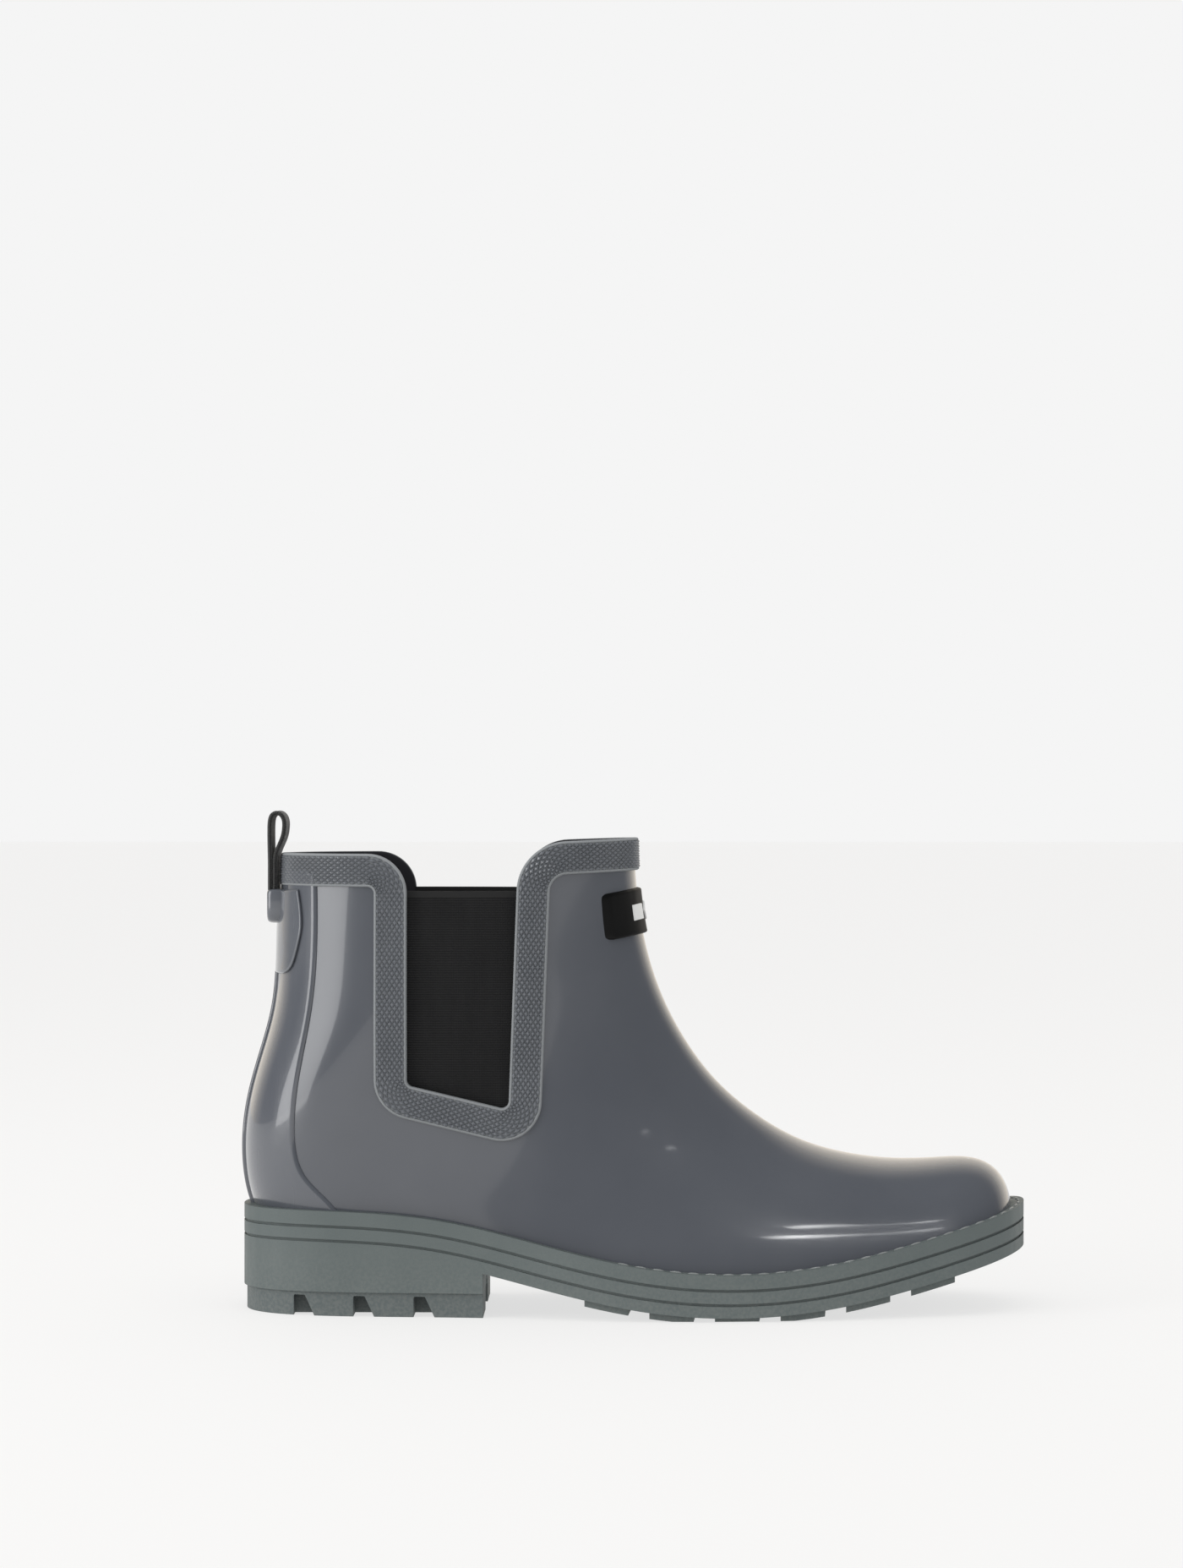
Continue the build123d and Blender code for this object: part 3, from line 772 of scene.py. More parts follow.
def new_group(name: str, inputs: dict[str, tuple[str, object]], outputs: dict[str, str]) -> Shade:
    """An empty shader node group with its sockets.

    Args:
        name: Name of the group.
        inputs: Socket name to its type (Float, Vector or Color) and default.
        outputs: Socket name to its type.

    Returns:
        The helper for the group's tree, with its two end nodes named In and Out.
    """
    tree = bpy.data.node_groups.new(name, "ShaderNodeTree")
    for key, (kind, default) in inputs.items():
        socket = tree.interface.new_socket(name=key, in_out="INPUT", socket_type=f"NodeSocket{kind}")
        if default is not None:
            socket.default_value = default
    for key, kind in outputs.items():
        tree.interface.new_socket(name=key, in_out="OUTPUT", socket_type=f"NodeSocket{kind}")
    tree.nodes.new("NodeGroupInput").name = "In"
    tree.nodes.new("NodeGroupOutput").name = "Out"
    return Shade(tree)


class Effects:
    """The shared effects: grain, cloud, weave, and dusty specks with a painted floor bounce, each a node
    group built once.
    """

    def __init__(self) -> None:
        """Builds the four groups."""
        self.grain = self._grain()
        self.cloud = self._cloud()
        self.weave = self._weave()
        self.dust_and_bounce = self._dust_and_bounce()

    @staticmethod
    def _grain() -> bpy.types.NodeTree:
        """Fine moulded grain: a height and a matching mask of its low spots."""
        s = new_group("moulded grain", {"Place": ("Vector", None), "Scale": ("Float", 1500.0)},
                      {"Height": "Float", "Hollows": "Float"})
        start, end = s.tree.nodes["In"], s.tree.nodes["Out"]
        cells = s.node("ShaderNodeTexVoronoi", feature="F1")
        noise = s.node("ShaderNodeTexNoise", Detail=3.0, Roughness=0.6)
        for made in (cells, noise):
            s.link(start.outputs["Place"], made.inputs["Vector"])
            s.link(start.outputs["Scale"], made.inputs["Scale"])
        height = s.math("ADD", s.math("MULTIPLY", cells.outputs["Distance"], 0.6),
                        s.math("MULTIPLY", noise.outputs["Fac"], 0.7))
        s.link(height, end.inputs["Height"])
        s.link(s.ramp(height, 0.45, 0.8), end.inputs["Hollows"])
        return s.tree

    @staticmethod
    def _cloud() -> bpy.types.NodeTree:
        """Broad, soft unevenness of a moulded or dipped surface."""
        s = new_group("soft cloud", {"Place": ("Vector", None), "Scale": ("Float", 40.0)},
                      {"Value": "Float", "Streaks": "Float"})
        start, end = s.tree.nodes["In"], s.tree.nodes["Out"]
        noise = s.node("ShaderNodeTexNoise", Detail=4.0, Roughness=0.5)
        s.link(start.outputs["Place"], noise.inputs["Vector"])
        s.link(start.outputs["Scale"], noise.inputs["Scale"])
        stretch = s.node("ShaderNodeMapping", Scale=(1.0, 1.0, 0.18))
        s.link(start.outputs["Place"], stretch.inputs["Vector"])
        fine = s.node("ShaderNodeTexNoise", Detail=2.0)
        s.link(stretch.outputs["Vector"], fine.inputs["Vector"])
        s.link(s.math("MULTIPLY", start.outputs["Scale"], 6.0), fine.inputs["Scale"])
        s.link(s.ramp(noise.outputs["Fac"], 0.3, 0.7), end.inputs["Value"])
        s.link(s.ramp(fine.outputs["Fac"], 0.35, 0.65), end.inputs["Streaks"])
        return s.tree

    @staticmethod
    def _weave() -> bpy.types.NodeTree:
        """Over-and-under threads on a piece's own map, whose units are mm, with a mask for painted shade in
        the low spots between them.
        """
        inputs = {"Across": ("Float", 1.0), "Along": ("Float", 1.0), "Lean": ("Float", 0.0)}
        s = new_group("plain weave", inputs, {"Height": "Float", "Gap shade": "Float"})
        start, end = s.tree.nodes["In"], s.tree.nodes["Out"]
        place = s.node("ShaderNodeUVMap", uv_map="UVMap")
        split = s.node("ShaderNodeSeparateXYZ")
        s.link(place.outputs["UV"], split.inputs["Vector"])
        u = s.math("MULTIPLY", split.outputs["X"], s.math("DIVIDE", TURNS, start.outputs["Across"]))
        lean = s.math("MULTIPLY", u, start.outputs["Lean"])
        turns = s.math("DIVIDE", TURNS, start.outputs["Along"])
        v = s.math("ADD", s.math("MULTIPLY", split.outputs["Y"], turns), lean)
        across, rib = (s.math("ADD", s.math("MULTIPLY", s.math("SINE", a), 0.5), 0.5) for a in (u, v))
        crossing = s.math("MULTIPLY", s.math("MULTIPLY", across, rib), 0.6)
        height = s.math("ADD", s.math("MULTIPLY", rib, 0.7), crossing)
        s.link(height, end.inputs["Height"])
        s.link(s.ramp(height, 0.5, 0.05), end.inputs["Gap shade"])
        return s.tree

    @staticmethod
    def _dust_and_bounce() -> bpy.types.NodeTree:
        """Sparse dusty specks, and a painted warm bounce of light from the floor that gathers low down."""
        inputs = {"Place": ("Vector", None), "Scale": ("Float", 900.0), "Reach": ("Float", 0.03)}
        s = new_group("light dust", inputs, {"Specks": "Float", "Painted floor bounce": "Float"})
        start, end = s.tree.nodes["In"], s.tree.nodes["Out"]
        noise = s.node("ShaderNodeTexNoise", Detail=1.0)
        s.link(start.outputs["Place"], noise.inputs["Vector"])
        s.link(start.outputs["Scale"], noise.inputs["Scale"])
        split = s.node("ShaderNodeSeparateXYZ")
        s.link(start.outputs["Place"], split.inputs["Vector"])
        height = s.math("DIVIDE", split.outputs["Z"], start.outputs["Reach"])
        low = s.math("SUBTRACT", 1.0, height, clamp=True)
        s.link(s.ramp(noise.outputs["Fac"], 0.70, 0.76), end.inputs["Specks"])
        s.link(s.math("MULTIPLY", low, s.ramp(noise.outputs["Fac"], 0.35, 0.65)), end.inputs["Painted floor bounce"])
        return s.tree


EFFECTS = Effects()


@dataclass(frozen=True)
class Finish:
    """A finish: its colours, gloss and relief."""

    name: str
    colour: tuple[float, float, float]
    variant: tuple[float, float, float]
    roughness: tuple[float, float] = (0.3, 0.4)
    coat: float = 0.0
    coat_roughness: float = 0.05
    sheen: float = 0.0
    specular: float = 0.5
    grain_scale: float = 1500.0
    grain_depth: float = 0.02
    cloud_scale: float = 40.0
    bevel: float = 0.0
    weave: Optional[tuple[float, float, float]] = None
    weave_depth: float = 0.1
    dust_and_bounce: float = 0.0

    def material(self) -> bpy.types.Material:
        """The material, built on first use.

        Returns:
            The finish's one material.
        """
        found = bpy.data.materials.get(self.name)
        return found or self._build()

    def _build(self) -> bpy.types.Material:
        """Builds the nodes from the shared groups.

        Returns:
            The new material.
        """
        made = bpy.data.materials.new(self.name)
        made.use_nodes = True
        s = Shade(made.node_tree)
        shader = made.node_tree.nodes["Principled BSDF"]
        place = s.node("ShaderNodeTexCoord").outputs["Object"]
        cloud = self._use(s, EFFECTS.cloud, Scale=self.cloud_scale)
        grain = self._use(s, EFFECTS.grain, Scale=self.grain_scale)
        for used in (cloud, grain):
            s.link(place, used.inputs["Place"])
        colour = s.mix(cloud.outputs["Value"], self.colour, self.variant)
        height, depth = grain.outputs["Height"], self.grain_depth
        rough = s.ramp(cloud.outputs["Streaks"], 0.0, 1.0, *self.roughness)
        if self.weave:
            across, along, lean = self.weave
            threads = self._use(s, EFFECTS.weave, Across=across, Along=along, Lean=lean)
            # painted shade: the colour darkens in the low spots between the threads
            painted_gap_shade = tuple(c * 0.35 for c in self.colour)
            colour = s.mix(threads.outputs["Gap shade"], colour, painted_gap_shade)
            fuzz = s.math("MULTIPLY", grain.outputs["Height"], 0.25)
            height = s.math("ADD", threads.outputs["Height"], fuzz)
            depth = self.weave_depth
        if self.dust_and_bounce:
            dust_and_bounce = self._use(s, EFFECTS.dust_and_bounce)
            s.link(place, dust_and_bounce.inputs["Place"])
            # painted floor bounce: the colour turns a lighter, warmer grey towards the floor
            colour = s.mix(s.math("MULTIPLY", dust_and_bounce.outputs["Painted floor bounce"], self.dust_and_bounce), colour, (0.36, 0.35, 0.32))
            rough = s.math("ADD", rough, s.math("MULTIPLY", dust_and_bounce.outputs["Specks"], 0.1 * self.dust_and_bounce))
        s.link(colour, shader.inputs["Base Color"])
        s.link(rough, shader.inputs["Roughness"])
        bump = s.node("ShaderNodeBump", Strength=1.0, Distance=depth * MM)
        s.link(height, bump.inputs["Height"])
        if self.bevel:
            soft = s.node("ShaderNodeBevel", samples=6, Radius=self.bevel * MM)
            s.link(soft.outputs["Normal"], bump.inputs["Normal"])
        s.link(bump.outputs["Normal"], shader.inputs["Normal"])
        for key, value in (("Coat Weight", self.coat), ("Coat Roughness", self.coat_roughness),
                           ("Sheen Weight", self.sheen), ("Specular IOR Level", self.specular)):
            shader.inputs[key].default_value = value
        return made

    @staticmethod
    def _use(s: Shade, group: bpy.types.NodeTree, **values: float) -> bpy.types.Node:
        """Places a shared group in the material.

        Args:
            s: The material's tree.
            group: The group.
            values: Its own values for the inputs.

        Returns:
            The group's node.
        """
        made = s.tree.nodes.new("ShaderNodeGroup")
        made.node_tree = group
        for key, value in values.items():
            made.inputs[key].default_value = value
        return made


GLOSS = Finish("upper_rubber_gloss", (0.072, 0.078, 0.091), (0.080, 0.086, 0.099), (0.24, 0.27), coat=0.8,
               coat_roughness=0.07, grain_scale=260.0, grain_depth=0.02, cloud_scale=30.0)
OVERLAY = Finish("overlay_rubber_gloss", (0.083, 0.090, 0.104), (0.092, 0.098, 0.113), (0.2, 0.28), coat=0.9,
                 coat_roughness=0.05, grain_scale=220.0, grain_depth=0.04, cloud_scale=26.0)
PATCH = Finish("patch_rubber_gloss", (0.088, 0.096, 0.110), (0.098, 0.105, 0.120), (0.2, 0.28), coat=1.0,
               coat_roughness=0.04, grain_scale=220.0, grain_depth=0.04)
BINDING = Finish("binding_rubber", (0.062, 0.067, 0.074), (0.075, 0.080, 0.088), (0.45, 0.58), coat=0.12,
                 coat_roughness=0.3, grain_scale=1400.0, grain_depth=0.03)
# painted light: the studs are a lighter copy of the band's rubber, so the raised diamonds look lit against
# the darker band
LIT_KNURL = Finish("binding_knurl_lit", (0.118, 0.126, 0.139), (0.150, 0.159, 0.173), (0.26, 0.36), coat=0.8,
               coat_roughness=0.10, grain_scale=1600.0, grain_depth=0.03)
SOLE = Finish("sole_rubber_matt", (0.098, 0.118, 0.116), (0.112, 0.132, 0.129), (0.52, 0.64), specular=0.4,
              grain_scale=2300.0, grain_depth=0.06, bevel=0.35, dust_and_bounce=0.1)
HEEL = Finish("heel_rubber_matt", (0.090, 0.108, 0.108), (0.100, 0.118, 0.117), (0.55, 0.66), specular=0.4,
              grain_scale=2300.0, grain_depth=0.06, bevel=0.35, dust_and_bounce=0.12)
STITCH = Finish("moulded_stitch", (0.19, 0.205, 0.20), (0.23, 0.245, 0.24), (0.4, 0.5), grain_scale=2500.0)
ELASTIC = Finish("elastic_web", (0.0065, 0.0065, 0.007), (0.010, 0.010, 0.0105), (0.75, 0.85), sheen=0.12,
                 specular=0.3, weave=(0.62, 0.85, 0.0), weave_depth=0.16, grain_scale=4000.0)
HEM = Finish("elastic_hem", (0.010, 0.010, 0.0105), (0.016, 0.016, 0.017), (0.55, 0.65), sheen=0.2,
             specular=0.3, weave=(0.5, 0.5, 0.5), weave_depth=0.08)
WEB = Finish("strap_webbing", (0.013, 0.013, 0.013), (0.022, 0.021, 0.020), (0.6, 0.75), sheen=0.3,
             specular=0.35, weave=(0.9, 0.7, 0.5), weave_depth=0.18)
LINING = Finish("lining_textile", (0.012, 0.012, 0.012), (0.022, 0.021, 0.020), (0.85, 0.95), sheen=0.4,
                specular=0.2, grain_scale=1500.0, grain_depth=0.15)
FOOTBED = Finish("footbed_textile", (0.030, 0.030, 0.031), (0.046, 0.045, 0.044), (0.85, 0.95), sheen=0.4,
                 specular=0.2, weave=(1.1, 1.1, 0.0), weave_depth=0.2)
LABEL = Finish("label_plastic", (0.003, 0.003, 0.003), (0.005, 0.005, 0.005), (0.45, 0.55), specular=0.15,
               grain_scale=1500.0, grain_depth=0.01)
EMBLEM = Finish("emblem_plastic", (0.62, 0.63, 0.62), (0.70, 0.70, 0.69), (0.35, 0.45), grain_scale=1500.0)
BOARD = Finish("fibre_board", (0.24, 0.19, 0.14), (0.32, 0.26, 0.20), (0.85, 0.95), grain_scale=900.0,
               grain_depth=0.1)
FILLER = Finish("cork_filler", (0.20, 0.13, 0.08), (0.33, 0.23, 0.15), (0.85, 0.95), grain_scale=500.0,
                grain_depth=0.3, cloud_scale=300.0)
STEEL = Finish("spring_steel", (0.45, 0.45, 0.47), (0.55, 0.55, 0.56), (0.28, 0.4), grain_scale=800.0,
               grain_depth=0.01)
STIFFENER = Finish("stiffener_sheet", (0.42, 0.40, 0.36), (0.5, 0.48, 0.44), (0.8, 0.9), grain_scale=1200.0,
                   grain_depth=0.08)


def dress(obj: bpy.types.Object, finish: Finish, slot: str, *nodes: str, body: Optional[str] = BOOT) -> None:
    """Gives a finished piece its finish, hides the nodes it replaces, puts it on its body, and reports it.

    Args:
        obj: The piece, at the origin.
        finish: Its finish.
        slot: The record's material slot; not used.
        nodes: CAD nodes it stands for.
        body: The body it rides on, or None to leave it on no body.
    """
    if not obj.data.materials:
        obj.data.materials.append(finish.material())
    if nodes:
        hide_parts(*nodes)
    if body:
        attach(obj, body)
    log.info("%s: %d faces, stands for %s", obj.name, len(obj.data.polygons), ", ".join(nodes) or "no node")


def lay_map(obj: bpy.types.Object, across: np.ndarray, along: np.ndarray) -> None:
    """Writes a map whose units are metres, from two values for each vertex.

    Args:
        obj: The piece.
        across: First value of each vertex, in mm.
        along: Second value of each vertex, in mm.
    """
    mesh = obj.data
    layer = mesh.uv_layers.new(name="UVMap")
    corner = np.zeros(len(mesh.loops), int)
    mesh.loops.foreach_get("vertex_index", corner)
    uv = np.stack([across[corner], along[corner]], -1) * MM
    layer.data.foreach_set("uv", uv.ravel())


# ---- geometry nodes ----------------------------------------------------------------------------


class StudTree:
    """Geometry nodes that set one small moulded shape on every point of a guide mesh."""

    def __init__(self, name: str, shape: Shape) -> None:
        """Builds the tree.

        Args:
            name: Name of the tree.
            shape: The shape that it sets.
        """
        tree = bpy.data.node_groups.new(name, "GeometryNodeTree")
        self.tree = tree
        add = tree.interface.new_socket
        add(name="Geometry", in_out="INPUT", socket_type="NodeSocketGeometry")
        self.keys = {}
        for key, default in (("Length", 1.0), ("Width", 1.0), ("Height", 1.0), ("Flat", 0.3)):
            socket = add(name=key, in_out="INPUT", socket_type="NodeSocketFloat")
            socket.default_value = default
            self.keys[key] = socket.identifier
        socket = add(name="Finish", in_out="INPUT", socket_type="NodeSocketMaterial")
        self.keys["Finish"] = socket.identifier
        add(name="Geometry", in_out="OUTPUT", socket_type="NodeSocketGeometry")
        start, end = tree.nodes.new("NodeGroupInput"), tree.nodes.new("NodeGroupOutput")
        size = tree.nodes.new("ShaderNodeCombineXYZ")
        for axis, key in zip("XYZ", ("Length", "Width", "Height")):
            tree.links.new(start.outputs[key], size.inputs[axis])
        if shape is Shape.DIAMOND:
            form = tree.nodes.new("GeometryNodeMeshCone")
            form.inputs["Vertices"].default_value = 4
            form.inputs["Radius Bottom"].default_value = 0.5
            form.inputs["Depth"].default_value = 1.0
            tree.links.new(start.outputs["Flat"], form.inputs["Radius Top"])
        else:
            form = tree.nodes.new("GeometryNodeMeshUVSphere")
            form.inputs["Segments"].default_value = 12
            form.inputs["Rings"].default_value = 8
            form.inputs["Radius"].default_value = 0.5
        points = tree.nodes.new("GeometryNodeMeshToPoints")
        place = tree.nodes.new("GeometryNodeInstanceOnPoints")
        turn = tree.nodes.new("FunctionNodeAxesToRotation")
        turn.primary_axis, turn.secondary_axis = "Z", "X"
        scale = tree.nodes.new("ShaderNodeVectorMath")
        scale.operation = "MULTIPLY"
        realize = tree.nodes.new("GeometryNodeRealizeInstances")
        finish = tree.nodes.new("GeometryNodeSetMaterial")
        for source, target in (
            (start.outputs["Geometry"], points.inputs["Mesh"]),
            (points.outputs["Points"], place.inputs["Points"]),
            (form.outputs["Mesh"], place.inputs["Instance"]),
            (self._attribute("stud_up"), turn.inputs["Primary Axis"]),
            (self._attribute("stud_ahead"), turn.inputs["Secondary Axis"]),
            (turn.outputs["Rotation"], place.inputs["Rotation"]),
            (size.outputs["Vector"], scale.inputs[0]),
            (self._attribute("stud_scale"), scale.inputs[1]),
            (scale.outputs["Vector"], place.inputs["Scale"]),
            (place.outputs["Instances"], realize.inputs["Geometry"]),
            (realize.outputs["Geometry"], finish.inputs["Geometry"]),
            (start.outputs["Finish"], finish.inputs["Material"]),
            (finish.outputs["Geometry"], end.inputs["Geometry"]),
        ):
            tree.links.new(source, target)

    def _attribute(self, name: str) -> bpy.types.NodeSocket:
        """Reads a vector stored on the guide's points.

        Args:
            name: Its name.

        Returns:
            The vector.
        """
        made = self.tree.nodes.new("GeometryNodeInputNamedAttribute")
        made.data_type = "FLOAT_VECTOR"
        made.inputs["Name"].default_value = name
        return made.outputs["Attribute"]

    def grow(self, name: str, points: np.ndarray, up: np.ndarray, ahead: np.ndarray, scale: np.ndarray,
             finish: Finish, **sizes: float) -> bpy.types.Object:
        """Sets the shape on the points and turns the result into a plain mesh.

        Args:
            name: Name of the piece.
            points: Centres of the shapes, in mm.
            up: Direction each one stands in.
            ahead: Direction its length lies in.
            scale: Stretch of each one along its three axes.
            finish: Finish of the shapes.
            sizes: Length, Width, Height in mm and Flat as a share.

        Returns:
            The plain mesh object.
        """
        guide_mesh = bpy.data.meshes.new(name + "_guide")
        guide_mesh.from_pydata(in_frame(points).tolist(), [], [])
        for key, values in (("stud_up", up), ("stud_ahead", ahead), ("stud_scale", scale)):
            layer = guide_mesh.attributes.new(key, "FLOAT_VECTOR", "POINT")
            layer.data.foreach_set("vector", np.asarray(values, np.float32).ravel())
        guide = put(name + "_guide", guide_mesh)
        modifier = guide.modifiers.new("studs", "NODES")
        modifier.node_group = self.tree
        for key, value in sizes.items():
            modifier[self.keys[key]] = value if key == "Flat" else value * MM
        modifier[self.keys["Finish"]] = finish.material()
        bpy.context.view_layer.update()
        grown = guide.evaluated_get(bpy.context.evaluated_depsgraph_get())
        mesh = bpy.data.meshes.new_from_object(grown)
        mesh.name = name
        bpy.data.objects.remove(guide)
        return put(name, mesh)


# ---- the opening -------------------------------------------------------------------------------


@dataclass
class Opening:
    """The collar line with the slot for the elastic, as seen from the side, in mm."""

    last: Last
    rear_x: float = 58.9
    front_x: float = 98.3
    front_low_x: float = 94.8
    rear_low_z: float = 81.6
    front_low_z: float = 73.0
    slope: float = 0.043
    rear_radius: float = 14.0
    front_radius: float = 18.0
    low_radius: float = 2.5
    middle_x: float = 78.0
    overrun: float = 100.0
    step: float = 1.6
    arc_steps: int = 18
    end_steps: int = 30

    def __post_init__(self) -> None:
        """Draws the path from the rear line to the front line, with its side directions."""
        front_z = self.last.collar_front - (0.5 * self.last.length - self.front_x) * self.slope
        self.front_z = front_z
        corners = [(self.rear_x - self.overrun, self.last.collar_rear, 0.0),
                   (self.rear_x, self.last.collar_rear, self.rear_radius),
                   (self.rear_x, self.rear_low_z, self.low_radius),
                   (self.front_low_x, self.front_low_z, self.low_radius),
                   (self.front_x, front_z, self.front_radius),
                   (self.front_x + self.overrun, front_z + self.overrun * self.slope, 0.0)]
        points, rights = [], []
        for before_corner, (*corner, radius), after_corner in zip(corners, corners[1:], corners[2:]):
            a, b, c = (np.array(corner_at[:2]) for corner_at in (before_corner, corner, after_corner))
            before, after = (b - a) / np.linalg.norm(b - a), (c - b) / np.linalg.norm(c - b)
            turn = math.copysign(1, before[0] * after[1] - before[1] * after[0])
            angle = math.acos(float(np.clip(before @ after, -1, 1)))
            left = np.array([-before[1], before[0]]) * turn
            start = b - before * radius * math.tan(angle / 2)
            if points:
                gap = start - points[-1]
                count = max(2, int(np.linalg.norm(gap) / self.step))
                for _ in range(1, count):
                    points.append(points[-1] + gap / count)
                    rights.append(np.array([before[1], -before[0]]))
            for turned in turn * angle * np.arange(self.arc_steps + 1) / self.arc_steps:
                co, si = math.cos(turned), math.sin(turned)
                spin = np.array([[co, -si], [si, co]])
                points.append(start + left * radius - spin @ left * radius)
                heading = spin @ before
                rights.append(np.array([heading[1], -heading[0]]))
        self.points, self.rights = np.array(points), np.array(rights)

    def inside(self, x: np.ndarray, z: np.ndarray, grow: float) -> np.ndarray:
        """Whether points lie in the opening, after it has grown.

        Args:
            x: From the back of the heel, in mm.
            z: Height, in mm.
            grow: By how much it has grown, in mm.

        Returns:
            True for each point inside.
        """
        share = (z - self.front_low_z) / (self.front_z - self.front_low_z)
        front = self.front_low_x + share * (self.front_x - self.front_low_x) + grow
        drop = (self.front_low_z - self.rear_low_z) / (self.front_low_x - self.rear_x)
        low = self.rear_low_z + (x - self.rear_x) * drop - grow
        slot = (x > self.rear_x - grow) & (x < front) & (z > low)
        front_collar = self.front_z + (x - self.front_x) * self.slope
        collar = np.where(x < self.middle_x, self.last.collar_rear, front_collar)
        return slot | (z > collar - grow)

    def sweep(self, profile: np.ndarray, side: Side) -> np.ndarray:
        """Carries a profile along the opening, from the rear ridge to the front ridge.

        Args:
            profile: Distance from the edge and inset of each point, in mm.
            side: Side of the boot.

        Returns:
            Points, rows by profile points by 3, in mm.
        """
        away, inset = np.asarray(profile, float).T
        shares = 1 - np.cos(np.linspace(0, math.pi / 2, self.end_steps + 1)[:-1])
        x = self.points[:, :1] + away[None] * self.rights[:, :1]
        z = self.points[:, 1:] + away[None] * self.rights[:, 1:]
        runs = []
        for which, (dx, dz) in ((0, (-1.0, 0.0)), (-1, (1.0, self.slope))):
            size = math.hypot(dx, dz)
            reach = self.last.reach(x[which], z[which], dx / size, dz / size, inset)
            d = reach[None] * (1 - shares[:, None])
            runs.append(self.last.at(x[which] + d * dx / size, z[which] + d * dz / size, side.value, inset))
        middle = self.last.at(x, z, side.value, inset)
        return np.concatenate([runs[0], middle, runs[1][::-1]])


# ---- the upper ---------------------------------------------------------------------------------


